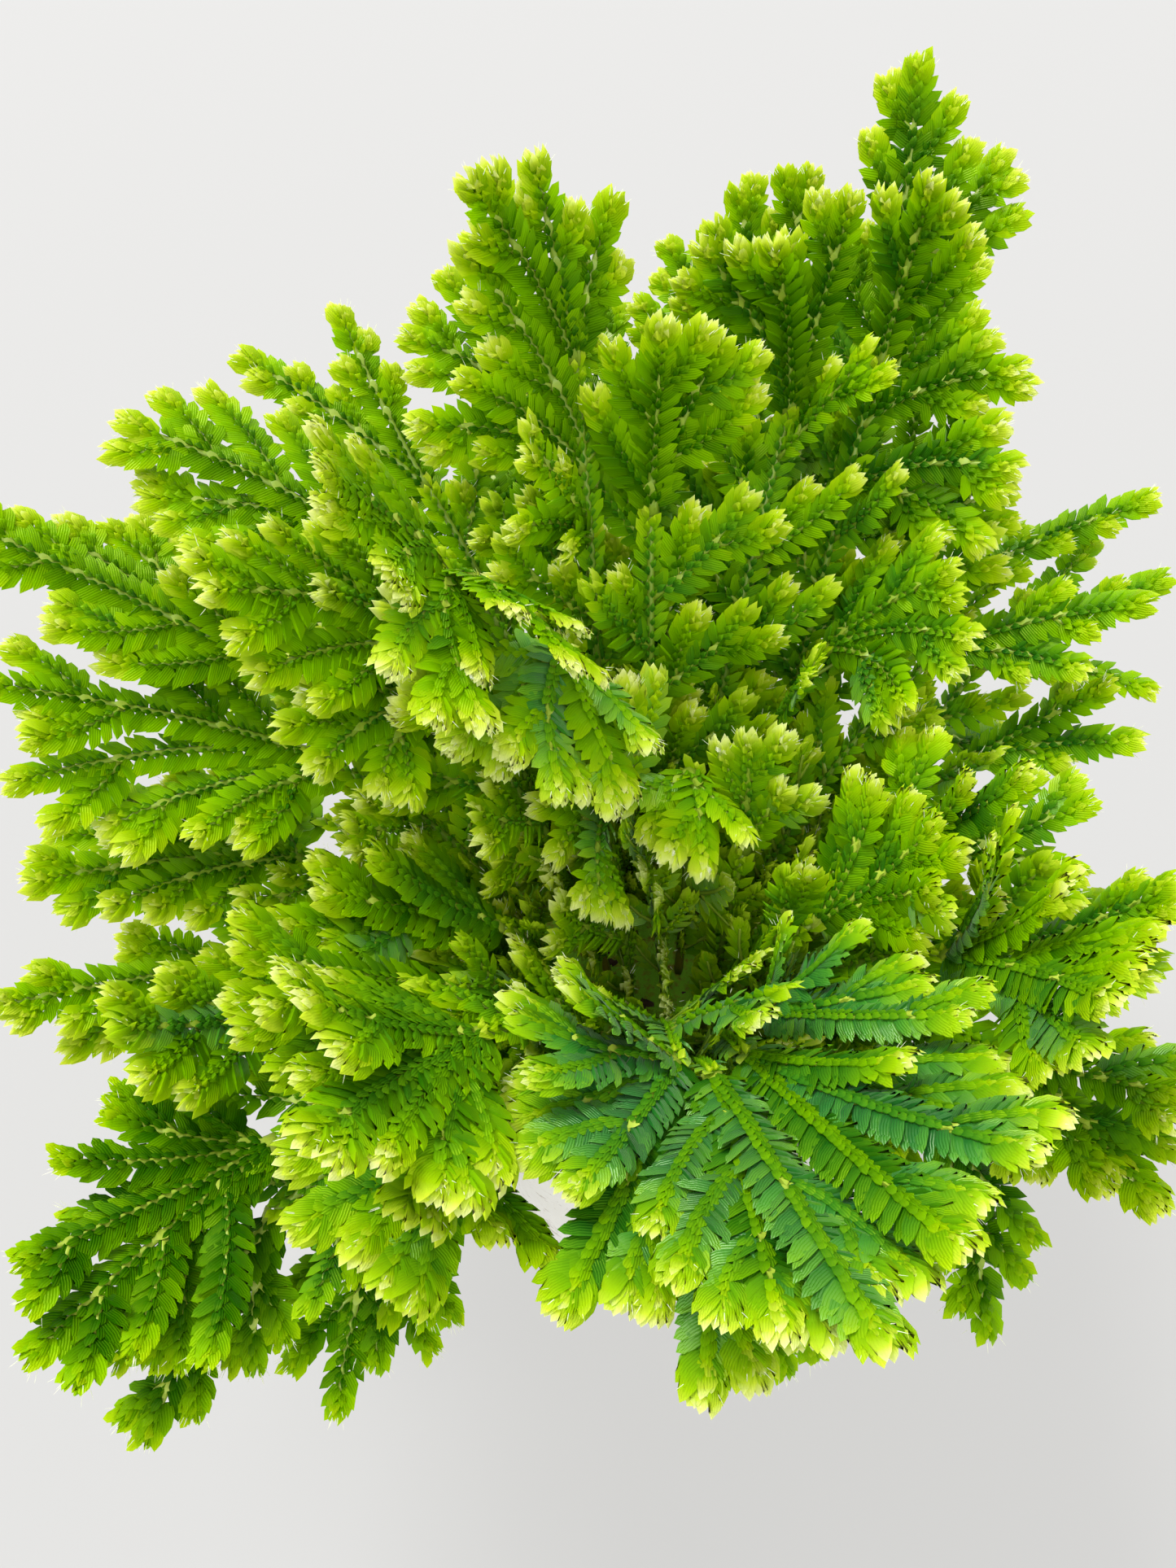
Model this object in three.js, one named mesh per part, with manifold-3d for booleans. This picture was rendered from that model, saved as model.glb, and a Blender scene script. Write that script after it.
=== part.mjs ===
// A frosty spikemoss growing in a plain nursery pot.
// The pot is a thin moulded shell, the soil is one plug inside it, and every shoot is one plant stem that
// rises from the soil and forks into flat leafy limbs.
// Millimetres, +Z up, the origin at the middle of the pot's underside, the plant's open front facing -Y.

import * as THREE from "three";
import { mergeVertices } from "three/addons/utils/BufferGeometryUtils.js";
import Module from "manifold-3d";

const wasm = await Module();
wasm.setup();

// Pot: a tapered shell with a turned-out rim and a ring of drain holes.
const POT_HEIGHT = 82;
const RIM_RADIUS = 46;
const BASE_RADIUS = 34;
const WALL = 1.6;
const FLOOR = 2;
const RIM_DEPTH = 9; // the band of the rim, from the lip down
const RIM_STEP = 2.2; // how far the band stands out from the wall
const BASE_BEVEL = 1.5;
const RIM_BEVEL = 1;
const POT_SIDES = 48;
const DRAIN_HOLES = 6;
const DRAIN_RADIUS = 3.5;
const DRAIN_RING = 24;
const DRAIN_SIDES = 16;

// Soil: filled to just under the rim, a little proud in the middle.
const SOIL_TOP = 74;
const SOIL_SHOULDER = 3; // how much lower it lies at the wall
const SHOULDER_WIDTH = 4;
const SEAT = 0.3; // the gap kept between pieces that touch
const SOIL_SIDES = 36;

// Stems: round, tapering from the soil up to the knee.
const FOOT_RADIUS = 1.0;
const KNEE_RADIUS = 0.7;
const STEM_SIDES = 5;
const STEM_RINGS = 6;
const STEM_LEAN = 0.25; // how far out towards the knee a stem's curve aims while it rises
const STEM_RISE = 0.72; // and how high, as a share of the knee's height
const LEAST_ARCH = 26; // even a low stem aims this high above the soil, so that it clears the rim
const FOOT_SPACING = 4.75; // scale of the sunflower pattern that the feet stand in
const FOOT_SHARE = 0.42; // a foot lies this share of the way out to its own knee

// Limbs: flat blades of overlapping leaves.
const LEAF_REACH = 4.6; // how far the leaves stand out to each side of a limb with room around it
const LEAST_REACH = 2.4; // and where its neighbours crowd it
const REACH_MARGIN = 0.5; // kept free between the leaves of neighbours
const LIMB_HALF_THICKNESS = 0.8;
const LIMB_ROOT_SHARE = 0.4; // how wide a limb is where it leaves the stem, as a share of its full width
const LIMB_TIP_SHARE = 0.25;
const LIMB_SIDES = 4;
const LIMB_RINGS = 3;
const LIMB_BEND = 0.45; // how far along its length a limb bends over
const STEM_PULL = 0.55; // how strongly the stem's direction and the tip's each draw a limb's start
const TIP_PULL = 0.8;

// Room that neighbouring shoots keep, from middle to middle.
const STEM_CLEARANCE = 2.6;
const LIMB_CLEARANCE = 5.4;
const LIMB_TO_STEM = 4;

// How finely a curve is sampled where its distance to its neighbours is measured.
const STEM_STEPS = 12;
const LIMB_STEPS = 8;

// The sideways bows that a stem tries until it is clear, and the lifts and bows that a limb tries.
const STEM_BOWS = [0, 3, -3, 6, -6, 9, -9, 12, -12];
const LIMB_BENDS = [
  [0, 0], [4, 0], [-4, 0], [0, 4], [0, -4], [8, 0], [-8, 0], [4, 6], [4, -6], [-4, 6], [-4, -6],
  [12, 0], [0, 9], [0, -9], [10, 8], [10, -8],
];

const POT_WHITE = 0xe9e8e2;
const SOIL_BROWN = 0x3a2a1c;
const LEAF_GREENS = [0x4f8a1c, 0x5f9c22, 0x6fae2a, 0x7fba34];

// Each shoot: its knee, where the bare stem ends, as [across, back, above the soil], and its limbs, each as
// [how far up the stem it leaves, then its tip as across, back, above the soil].
const SHOOTS = {
  back_right_tall: [[34, 60, 92], [
    [1, 38, 87, 129], [1, 54, 84, 116], [1, 37, 62, 122], [0.88, 50, 68, 106], [0.88, 55, 50, 97],
    [0.75, 54, 38, 87], [0.75, 50, 32, 76]]],
  back_right_inner: [[20, 58, 84], [[1, 27, 68, 117], [1, 14, 61, 113], [1, 3, 66, 110]]],
  back_right_far: [[18, 80, 80], [
    [1, 26, 98, 108], [1, 13, 102, 103], [0.9, 0, 100, 94], [0.9, -6, 90, 87]]],
  back_left_tall: [[-16, 50, 98], [
    [1, -31, 47, 128], [1, -22, 57, 127], [1, -10, 66, 117], [0.85, -33, 51, 117], [0.8, -34, 40, 102],
    [0.8, -41, 36, 96], [0.68, -26, 24, 86], [0.68, -18, 25, 81]]],
  back_left_far: [[-24, 62, 84], [[1, -39, 78, 99], [1, -46, 68, 93]]],
  back_middle: [[-4, 36, 80], [[1, -3, 43, 110], [1, 7, 47, 105]]],
  left_back_far: [[-42, 54, 72], [[1, -58, 78, 93], [1, -74, 67, 90]]],
  left_back: [[-50, 33, 78], [[1, -85, 38, 96], [1, -82, 29, 88]]],
  middle_tall: [[-36, 20, 85], [
    [1, -49, 10, 107], [1, -41, 3, 95], [0.95, -12, -1, 79], [0.95, -28, -10, 79]]],
  left_tall: [[-42, 17, 74], [[1, -60, 17, 93], [1, -53, 11, 86], [1, -65, 0, 95], [0.9, -60, -5, 84]]],
  middle_droop: [[-17, 15, 70], [[1, -18, -12, 67], [1, -27, -7, 66], [1, -8, -8, 62]]],
  centre_right_low: [[3, 8, 50], [[1, 4, -11, 46], [1, -5, -5, 47]]],
  centre_left_low: [[-11, 5, 42], [[1, -12, -16, 42], [1, -20, -7, 44]]],
  left_upper: [[-62, 19, 60], [
    [1, -107, 24, 88], [1, -97, 31, 80], [0.9, -91, 36, 77], [0.9, -79, 26, 75]]],
  left_middle: [[-60, 12, 50], [
    [1, -101, 2, 76], [1, -97, -8, 66], [0.9, -86, -9, 57], [0.9, -73, -9, 55]]],
  left_lower: [[-68, 2, 37], [
    [1, -103, -1, 44], [1, -99, 6, 50], [0.9, -98, -18, 54], [0.9, -87, -20, 50]]],
  left_inner: [[-38, 12, 62], [[1, -57, 3, 73], [1, -54, -8, 67], [1, -45, -7, 61]]],
  left_bottom: [[-74, -12, 22], [[1, -107, -29, 37], [1, -99, -31, 24]]],
  front_left_inner: [[-28, -12, 34], [[1, -46, -14, 57], [1, -53, -21, 57], [1, -58, -28, 58]]],
  front_left_middle: [[-34, -28, 42], [[1, -60, -36, 66], [1, -60, -44, 58]]],
  front_left_far: [[-58, -25, 30], [[1, -79, -40, 52], [1, -77, -31, 46]]],
  front_left_near: [[-28, -42, 54], [
    [1, -47, -51, 79], [1, -47, -58, 73], [1, -44, -68, 79], [1, -37, -68, 73], [1, -31, -69, 66]]],
  front_left_spray: [[-60, -47, 30], [
    [1, -84, -46, 41], [1, -87, -56, 46], [1, -85, -64, 42], [1, -87, -71, 47], [1, -83, -82, 44],
    [1, -76, -80, 32]]],
  front_left_hanging: [[-60, -55, 24], [[1, -73, -87, 22], [1, -60, -77, 15]]],
  front_left_under: [[-44, -50, 16], [[1, -50, -80, 9], [1, -37, -70, 4]]],
  front_left_short: [[-30, -47, 41], [
    [1, -43, -69, 46], [1, -34, -62, 38], [1, -25, -69, 52], [1, -27, -61, 47]]],
  front_fan_left: [[-2, -42, 47], [
    [1, -17, -33, 56], [1, -23, -40, 54], [1, -23, -53, 51], [1, -17, -76, 52], [1, -16, -64, 56]]],
  front_fan_middle: [[3, -45, 48], [[1, -1, -85, 50], [1, 6, -83, 67], [1, 15, -86, 73]]],
  front_fan_right: [[8, -41, 46], [
    [1, 24, -77, 74], [1, 34, -67, 74], [1, 38, -60, 66], [1, 25, -51, 63]]],
  front_under: [[10, -50, 24], [[1, 15, -74, 8], [1, 23, -69, 8]]],
  front_right_hanging: [[37, -44, 30], [[1, 43, -71, 16], [1, 50, -61, 26]]],
  right_near: [[38, -26, 48], [[1, 46, -51, 78], [1, 43, -56, 74], [1, 48, -31, 72], [1, 41, -22, 70]]],
  right_flat: [[12, -32, 41], [[1, 35, -44, 62], [1, 32, -37, 58], [1, 16, -21, 50], [1, 26, -24, 53]]],
  right_inner: [[21, -17, 42], [[1, 34, -26, 64], [1, 36, -15, 66], [1, 29, -5, 63], [1, 40, 5, 63]]],
  right_middle: [[36, -8, 50], [[1, 48, -11, 72], [1, 42, -7, 66]]],
  right_far: [[46, -4, 42], [[1, 66, -1, 53], [1, 64, -11, 46]]],
  right_spray: [[48, -36, 36], [[1, 64, -50, 52], [1, 60, -61, 43], [1, 49, -53, 35]]],
  right_low: [[53, -18, 37], [[1, 71, -20, 58], [1, 69, -30, 46]]],
  right_back_low: [[51, 14, 46], [[1, 74, 7, 58], [1, 71, 16, 62]]],
  right_back: [[45, 27, 58], [[1, 72, 18, 77], [1, 64, 13, 67]]],
  right_back_far: [[52, 52, 48], [[1, 89, 58, 67]]],
  right_upper: [[26, 28, 58], [[1, 44, 11, 76], [1, 35, 6, 66], [1, 43, 23, 80]]],
  centre: [[12, 0, 38], [[1, 11, 7, 61], [1, 18, 2, 54]]],
  back_low_left: [[-28, 64, 46], [[1, -36, 96, 60], [1, -54, 86, 56], [1, -18, 92, 66]]],
  back_low: [[2, 68, 46], [[1, -4, 104, 56], [1, 14, 102, 66], [0.9, -18, 99, 44]]],
  back_low_right: [[30, 62, 48], [[1, 42, 92, 60], [1, 27, 97, 72], [1, 57, 82, 56]]],
  back_hanging: [[8, 62, 26], [[1, 2, 90, 8], [1, 22, 86, 14]]],
  right_back_wide: [[56, 34, 48], [[1, 88, 42, 62], [1, 82, 60, 56], [1, 86, 27, 48]]],
  right_back_hanging: [[48, 34, 28], [[1, 72, 50, 16], [1, 80, 34, 20]]],
  left_back_wide: [[-62, 42, 48], [[1, -96, 58, 60], [1, -86, 72, 56], [1, -101, 42, 54]]],
  left_back_hanging: [[-50, 46, 28], [[1, -76, 70, 18], [1, -86, 54, 22]]],
  back_right_outer: [[40, 50, 64], [[1, 56, 70, 84], [1, 62, 56, 70], [1, 46, 80, 84]]],
  back_middle_far: [[-6, 64, 70], [[1, -12, 96, 88], [1, -24, 88, 82]]],
  right_hanging: [[56, -4, 26], [[1, 80, -14, 12], [1, 82, 6, 16]]],
  left_hanging: [[-62, 16, 26], [[1, -92, 26, 12], [1, -94, 8, 16]]],
};

// ---- solids

const vec = (x, y, z) => new THREE.Vector3(x, y, z);

function solid(geometry) {
  const bare = geometry.clone();
  bare.deleteAttribute("normal");
  bare.deleteAttribute("uv");
  const merged = mergeVertices(bare, 1e-3);
  return new wasm.Manifold(
    new wasm.Mesh({
      numProp: 3,
      vertProperties: new Float32Array(merged.attributes.position.array),
      triVerts: new Uint32Array(merged.index.array),
    }),
  );
}

function meshOf(name, body, colour, roughness) {
  const { vertProperties, triVerts } = body.getMesh();
  const geometry = new THREE.BufferGeometry();
  geometry.setAttribute("position", new THREE.BufferAttribute(vertProperties, 3));
  geometry.setIndex(new THREE.BufferAttribute(triVerts, 1));
  geometry.computeVertexNormals();
  const material = new THREE.MeshStandardMaterial({ color: colour, roughness, metalness: 0 });
  const mesh = new THREE.Mesh(geometry, material);
  mesh.name = name;
  return mesh;
}

// A lathe's own axis is Y, so it is stood up along Z.
function turned(outline, sides) {
  const points = outline.map(([radius, height]) => new THREE.Vector2(radius, height));
  return new THREE.LatheGeometry(points, sides).rotateX(Math.PI / 2);
}

// A cylinder bent along a curve: its rings follow the curve, flat where thick is under wide.
// `upper` is the way its upper side faces at the start, and it turns with the curve from there.
function sweep(curve, sides, rings, wide, thick, upper) {
  const geometry = new THREE.CylinderGeometry(1, 1, 1, sides, rings);
  const at = geometry.attributes.position;
  const frames = [];
  let normal = upper.clone();
  for (let i = 0; i <= rings; i++) {
    const along = curve.getTangent(i / rings);
    normal = normal.clone().addScaledVector(along, -normal.dot(along)).normalize();
    frames.push({ middle: curve.getPoint(i / rings), normal, side: along.clone().cross(normal) });
  }
  for (let i = 0; i < at.count; i++) {
    const share = at.getY(i) + 0.5;
    const { middle, normal: up, side } = frames[Math.round(share * rings)];
    const place = middle
      .clone()
      .addScaledVector(side, at.getX(i) * wide(share))
      .addScaledVector(up, at.getZ(i) * thick(share));
    at.setXYZ(i, place.x, place.y, place.z);
  }
  return solid(geometry);
}

// ---- where the shoots stand and how they run

// The growing points in the crown, spaced evenly as the seeds of a sunflower are.
function growingPoints(count) {
  const turn = Math.PI * (3 - Math.sqrt(5));
  return Array.from({ length: count }, (_, k) => {
    const reach = FOOT_SPACING * Math.sqrt(k + 0.5);
    return vec(reach * Math.cos(k * turn), reach * Math.sin(k * turn), 0);
  });
}

// Each shoot stands at the growing point nearest its own direction, the widest first, and two shoots change
// places while that brings them nearer.
function feetOf(shoots) {
  const points = growingPoints(shoots.length);
  const wanted = shoots.map(({ knee }) => vec(knee.x, knee.y, 0).multiplyScalar(FOOT_SHARE));
  const cost = (shoot, point) => wanted[shoot].distanceToSquared(points[point]);
  const order = shoots.map((_, i) => i).sort((a, b) => wanted[b].length() - wanted[a].length() || a - b);
  const taken = new Set();
  const place = [];
  for (const i of order) {
    let best = -1;
    points.forEach((_, p) => {
      if (!taken.has(p) && (best < 0 || cost(i, p) < cost(i, best))) best = p;
    });
    taken.add(best);
    place[i] = best;
  }
  for (let changed = true; changed; ) {
    changed = false;
    for (let a = 0; a < place.length; a++) {
      for (let b = 0; b < a; b++) {
        const now = cost(a, place[a]) + cost(b, place[b]);
        const swapped = cost(a, place[b]) + cost(b, place[a]);
        if (swapped < now - 1e-6) {
          [place[a], place[b]] = [place[b], place[a]];
          changed = true;
        }
      }
    }
  }
  return place.map((p) => points[p]);
}

// A stem rises first and then leans out to its knee, bowed sideways by `bow`.
function stemCurve(foot, knee, bow) {
  const across = vec(foot.y - knee.y, knee.x - foot.x, 0).normalize();
  const height = Math.max(STEM_RISE * knee.z, LEAST_ARCH);
  const middle = foot.clone().lerp(knee, STEM_LEAN).setZ(height).addScaledVector(across, bow);
  return new THREE.QuadraticBezierCurve3(foot, middle, knee);
}

// A limb leaves along the stem and bends over to its tip.
function limbCurve(start, heading, tip, [lift, bow]) {
  const way = tip.clone().sub(start);
  const length = way.length();
  const lean = heading.clone().multiplyScalar(STEM_PULL).addScaledVector(way, TIP_PULL / length).normalize();
  const across = way.clone().cross(vec(0, 0, 1)).normalize();
  const middle = start.clone().addScaledVector(lean, LIMB_BEND * length).addScaledVector(across, bow);
  middle.z += lift;
  return new THREE.QuadraticBezierCurve3(start, middle, tip);
}

function gapBetween(a, b) {
  let least = Infinity;
  for (const p of a) {
    for (const q of b) {
      least = Math.min(least, p.distanceToSquared(q));
    }
  }
  return Math.sqrt(least);
}

// The first of some curves that keeps clear of all that has grown, or the one that comes nearest to it.
function firstClear(curves, steps, grown, room) {
  let best;
  for (const curve of curves) {
    const points = curve.getPoints(steps);
    const spare = Math.min(Infinity, ...grown.map((other) => gapBetween(points, other.points) - room(other)));
    if (!best || spare > best.spare) best = { curve, points, spare };
    if (spare >= 0) break;
  }
  return best;
}

// How far a limb's leaves can reach to each side: half way to its nearest neighbour, within what leaves do.
function leafReach(limb, shoots) {
  const own = limb.curve.getPoints(2 * LIMB_STEPS);
  const others = shoots.filter((shoot) => !shoot.limbs.includes(limb));
  const gapTo = (curve, steps) => gapBetween(own, curve.getPoints(2 * steps));
  const neighbours = others.flatMap(({ limbs }) => limbs.map((other) => other.curve));
  const toLimb = Math.min(...neighbours.map((curve) => gapTo(curve, LIMB_STEPS)));
  const toStem = Math.min(...others.map(({ stem }) => gapTo(stem, STEM_STEPS)));
  const room = Math.min(toLimb / 2, toStem - FOOT_RADIUS) - REACH_MARGIN;
  return THREE.MathUtils.clamp(room, LEAST_REACH, LEAF_REACH);
}

function grow() {
  const shoots = Object.entries(SHOOTS).map(([name, [knee, limbs]]) => {
    return { name, knee: vec(...knee), limbs };
  });
  const feet = feetOf(shoots);
  const grown = [];
  shoots.forEach((shoot, i) => {
    const ways = STEM_BOWS.map((bow) => stemCurve(feet[i], shoot.knee, bow));
    const { curve, points } = firstClear(ways, STEM_STEPS, grown, () => STEM_CLEARANCE);
    shoot.stem = curve;
    grown.push({ shoot, limb: false, points });
  });
  const roomBeside = ({ limb }) => (limb ? LIMB_CLEARANCE : LIMB_TO_STEM);
  for (const shoot of shoots) {
    shoot.limbs = shoot.limbs.map(([leaves, ...tip]) => {
      const start = shoot.stem.getPoint(leaves);
      const heading = shoot.stem.getTangent(leaves);
      const ways = LIMB_BENDS.map((bend) => limbCurve(start, heading, vec(...tip), bend));
      const others = grown.filter((other) => other.shoot !== shoot);
      const { curve, points } = firstClear(ways, LIMB_STEPS, others, roomBeside);
      grown.push({ shoot, limb: true, points });
      return { leaves, curve };
    });
  }
  for (const limb of shoots.flatMap(({ limbs }) => limbs)) {
    limb.reach = leafReach(limb, shoots);
  }
  return shoots;
}

// ---- the pieces

// The outside of the pot's wall, which tapers in a straight line.
function wallRadius(height) {
  return THREE.MathUtils.lerp(BASE_RADIUS, RIM_RADIUS - RIM_STEP, height / POT_HEIGHT);
}

function pot() {
  const under = POT_HEIGHT - RIM_DEPTH;
  const shell = solid(
    turned(
      [
        [0, 0],
        [BASE_RADIUS - BASE_BEVEL, 0],
        [BASE_RADIUS, BASE_BEVEL],
        [wallRadius(under), under],
        [RIM_RADIUS - RIM_BEVEL, under],
        [RIM_RADIUS, under + RIM_BEVEL],
        [RIM_RADIUS, POT_HEIGHT - RIM_BEVEL],
        [RIM_RADIUS - RIM_BEVEL, POT_HEIGHT],
        [wallRadius(POT_HEIGHT) - WALL, POT_HEIGHT],
        [wallRadius(FLOOR) - WALL, FLOOR],
        [0, FLOOR],
      ],
      POT_SIDES,
    ),
  );
  const turns = Array.from({ length: DRAIN_HOLES }, (_, k) => (2 * Math.PI * k) / DRAIN_HOLES);
  return turns.reduce((body, turn) => {
    const drill = new THREE.CylinderGeometry(DRAIN_RADIUS, DRAIN_RADIUS, 3 * FLOOR, DRAIN_SIDES);
    drill.rotateX(Math.PI / 2);
    drill.translate(DRAIN_RING * Math.cos(turn), DRAIN_RING * Math.sin(turn), FLOOR / 2);
    return body.subtract(solid(drill));
  }, shell);
}

function soil() {
  const inner = (height) => wallRadius(height) - WALL - SEAT;
  const edge = SOIL_TOP - SOIL_SHOULDER;
  const bottom = FLOOR + SEAT;
  const outline = [
    [0, bottom],
    [inner(bottom), bottom],
    [inner(edge), edge],
    [inner(edge) - SHOULDER_WIDTH, SOIL_TOP],
    [0, SOIL_TOP],
  ];
  return solid(turned(outline, SOIL_SIDES));
}

// A joined body without the tiny hollows that are shut in where its parts meet.
function filled(body) {
  return body.decompose().find((part) => part.volume() > 0);
}

// A limb widens from the stem to its middle and narrows to its tip.
function limbWidth(share) {
  return share < 0.5
    ? THREE.MathUtils.lerp(LIMB_ROOT_SHARE, 1, share * 2)
    : THREE.MathUtils.lerp(1, LIMB_TIP_SHARE, share * 2 - 1);
}

function shootBody({ stem, limbs }) {
  const outer = limbs.reduce((sum, { curve }) => sum.add(curve.v2), vec(0, 0, 0)).divideScalar(limbs.length);
  const inward = vec(stem.v0.x - outer.x, stem.v0.y - outer.y, 0).normalize();
  const girth = (share) => THREE.MathUtils.lerp(FOOT_RADIUS, KNEE_RADIUS, share);
  // The foot is level with the soil, so the first ring is laid flat.
  const level = stem.clone();
  level.getTangent = (share) => (share > 0 ? stem.getTangent(share) : vec(0, 0, 1));
  const trunk = sweep(level, STEM_SIDES, STEM_RINGS, girth, girth, inward);
  const joined = limbs.reduce((body, { leaves, curve, reach }) => {
    const start = stem.getTangent(leaves);
    const upper = inward.clone().addScaledVector(start, -inward.dot(start)).normalize();
    const wide = (share) => reach * limbWidth(share);
    const thick = (share) => LIMB_HALF_THICKNESS * limbWidth(share);
    return body.add(sweep(curve, LIMB_SIDES, LIMB_RINGS, wide, thick, upper));
  }, trunk);
  return filled(joined);
}

const spikemoss = new THREE.Group();
spikemoss.add(meshOf("pot", pot(), POT_WHITE, 0.45));
spikemoss.add(meshOf("soil", soil(), SOIL_BROWN, 0.95));

const plant = new THREE.Group();
plant.position.z = SOIL_TOP + SEAT;
grow().forEach((shoot, i) => {
  plant.add(meshOf("shoot_" + shoot.name, shootBody(shoot), LEAF_GREENS[i % LEAF_GREENS.length], 0.5));
});
spikemoss.add(plant);

export default spikemoss;
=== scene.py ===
# A spikemoss with frosted tips, growing in a plain nursery pot.
# Blender works in metres in the CAD frame: +Z up, the origin at the middle of the pot's underside, the
# plant's open front facing -Y. Sizes below are in millimetres, as in the CAD.

import math

import bpy
import numpy as np
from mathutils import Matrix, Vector, noise


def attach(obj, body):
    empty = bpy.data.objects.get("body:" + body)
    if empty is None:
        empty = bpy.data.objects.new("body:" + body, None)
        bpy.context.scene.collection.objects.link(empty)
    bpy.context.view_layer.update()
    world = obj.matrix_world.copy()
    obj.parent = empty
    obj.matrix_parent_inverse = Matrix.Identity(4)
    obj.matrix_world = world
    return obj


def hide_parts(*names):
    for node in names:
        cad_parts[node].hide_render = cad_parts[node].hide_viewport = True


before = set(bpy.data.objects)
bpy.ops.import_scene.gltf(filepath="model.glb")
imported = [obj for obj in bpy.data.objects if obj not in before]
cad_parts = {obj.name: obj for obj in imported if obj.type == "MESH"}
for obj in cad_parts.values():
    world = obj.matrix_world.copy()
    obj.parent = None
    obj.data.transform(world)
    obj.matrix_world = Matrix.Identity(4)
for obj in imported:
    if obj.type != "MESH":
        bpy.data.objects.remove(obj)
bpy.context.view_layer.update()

# ---- Pot
# A small round nursery pot of white polypropylene, injection moulded: a thin wall that tapers so that
# pots stack, a turned-out rim that stiffens it, and six drain holes in its flat floor.

MM = 0.001
POT_HEIGHT = 82
RIM_RADIUS = 46
BASE_RADIUS = 34
WALL = 1.6
FLOOR = 2
RIM_DEPTH = 9
RIM_STEP = 2.2
POT_SIDES = 128
DRAIN_HOLES = 6
DRAIN_RADIUS = 3.5
DRAIN_RING = 24
POT_WHITE = "#e9e8e2"
POT_SHADE = "#d8d6cc"
SOIL_SPLASH = "#8d7b62"


def wall_radius(height):
    """The outside of the pot's wall, in mm."""
    return BASE_RADIUS + (RIM_RADIUS - RIM_STEP - BASE_RADIUS) * height / POT_HEIGHT


def linear(colour):
    """An sRGB hex colour as linear RGBA."""
    parts = [int(colour[i : i + 2], 16) / 255 for i in (1, 3, 5)]
    return (*[c / 12.92 if c <= 0.04045 else ((c + 0.055) / 1.055) ** 2.4 for c in parts], 1)


def node(tree, kind, inputs=(), **settings):
    """Adds a node. Settings are its own properties, inputs its sockets: values, or sockets to link from."""
    made = tree.nodes.new("ShaderNode" + kind)
    for name, value in settings.items():
        setattr(made, name, value)
    for socket, value in dict(inputs).items():
        if isinstance(value, bpy.types.NodeSocket):
            tree.links.new(value, made.inputs[socket])
        else:
            made.inputs[socket].default_value = value
    return made


def new_material(name):
    """An empty node material and its output node."""
    made = bpy.data.materials.new(name)
    made.use_nodes = True
    made.node_tree.nodes.clear()
    return made, made.node_tree, node(made.node_tree, "OutputMaterial")


def set_ramp(ramp, stops):
    """Colours along a ramp, as (place, hex colour)."""
    elements = ramp.color_ramp.elements
    while len(elements) < len(stops):
        elements.new(0.5)
    for element, (place, colour) in zip(elements, stops):
        element.position = place
        element.color = linear(colour)


def add(primitive, **place):
    """Adds a primitive with nothing else selected, and opens it in edit mode."""
    bpy.ops.object.select_all(action="DESELECT")
    primitive(**place)
    bpy.ops.object.mode_set(mode="EDIT")
    return bpy.context.active_object


def draw_ring(radius, height, last):
    """Extrudes the selected ring to a new radius and height, both in mm. Returns where it now is."""
    shrink = radius / last[0]
    bpy.ops.mesh.extrude_region_move(TRANSFORM_OT_translate={"value": (0, 0, (height - last[1]) * MM)})
    bpy.ops.transform.resize(value=(shrink, shrink, 1), center_override=(0, 0, height * MM))
    return radius, height


under_rim = POT_HEIGHT - RIM_DEPTH
outline = [(BASE_RADIUS - 0.6, 0.35), (BASE_RADIUS, 1.4), (BASE_RADIUS + 0.3, 3)]
outline += [(wall_radius(h), h) for h in (12, 24, 36, 48, 60, 70)]
outline += [(wall_radius(72.2), 72.2), (wall_radius(under_rim) + 0.5, under_rim)]
outline += [(RIM_RADIUS - 1, under_rim), (RIM_RADIUS - 0.25, under_rim + 0.3), (RIM_RADIUS, under_rim + 1)]
outline += [(RIM_RADIUS, 78), (RIM_RADIUS, 80.8), (RIM_RADIUS - 0.3, 81.6), (RIM_RADIUS - 1, POT_HEIGHT)]
outline += [(RIM_RADIUS - 2.6, POT_HEIGHT), (RIM_RADIUS - 3.5, 81.6), (wall_radius(80) - WALL, 80)]
outline += [(wall_radius(h) - WALL, h) for h in (70, 50, 30, 10)]
outline += [(wall_radius(FLOOR) - WALL - 0.8, FLOOR + 0.4), (wall_radius(FLOOR) - WALL - 2, FLOOR)]
start = (BASE_RADIUS - 1.5, 0)
pot = add(bpy.ops.mesh.primitive_circle_add, vertices=POT_SIDES, radius=start[0] * MM, fill_type="NOTHING")
last = start
for radius, height in outline:
    last = draw_ring(radius, height, last)
bpy.ops.mesh.edge_face_add()
bpy.ops.mesh.select_all(action="DESELECT")
bpy.ops.object.mode_set(mode="OBJECT")
for vertex in pot.data.vertices[:POT_SIDES]:
    vertex.select = True
bpy.ops.object.mode_set(mode="EDIT")
bpy.ops.mesh.select_mode(type="VERT")
bpy.ops.mesh.edge_face_add()
bpy.ops.mesh.select_all(action="SELECT")
bpy.ops.mesh.normals_make_consistent(inside=False)
bpy.ops.object.mode_set(mode="OBJECT")
pot.name = "nursery_pot"

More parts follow.
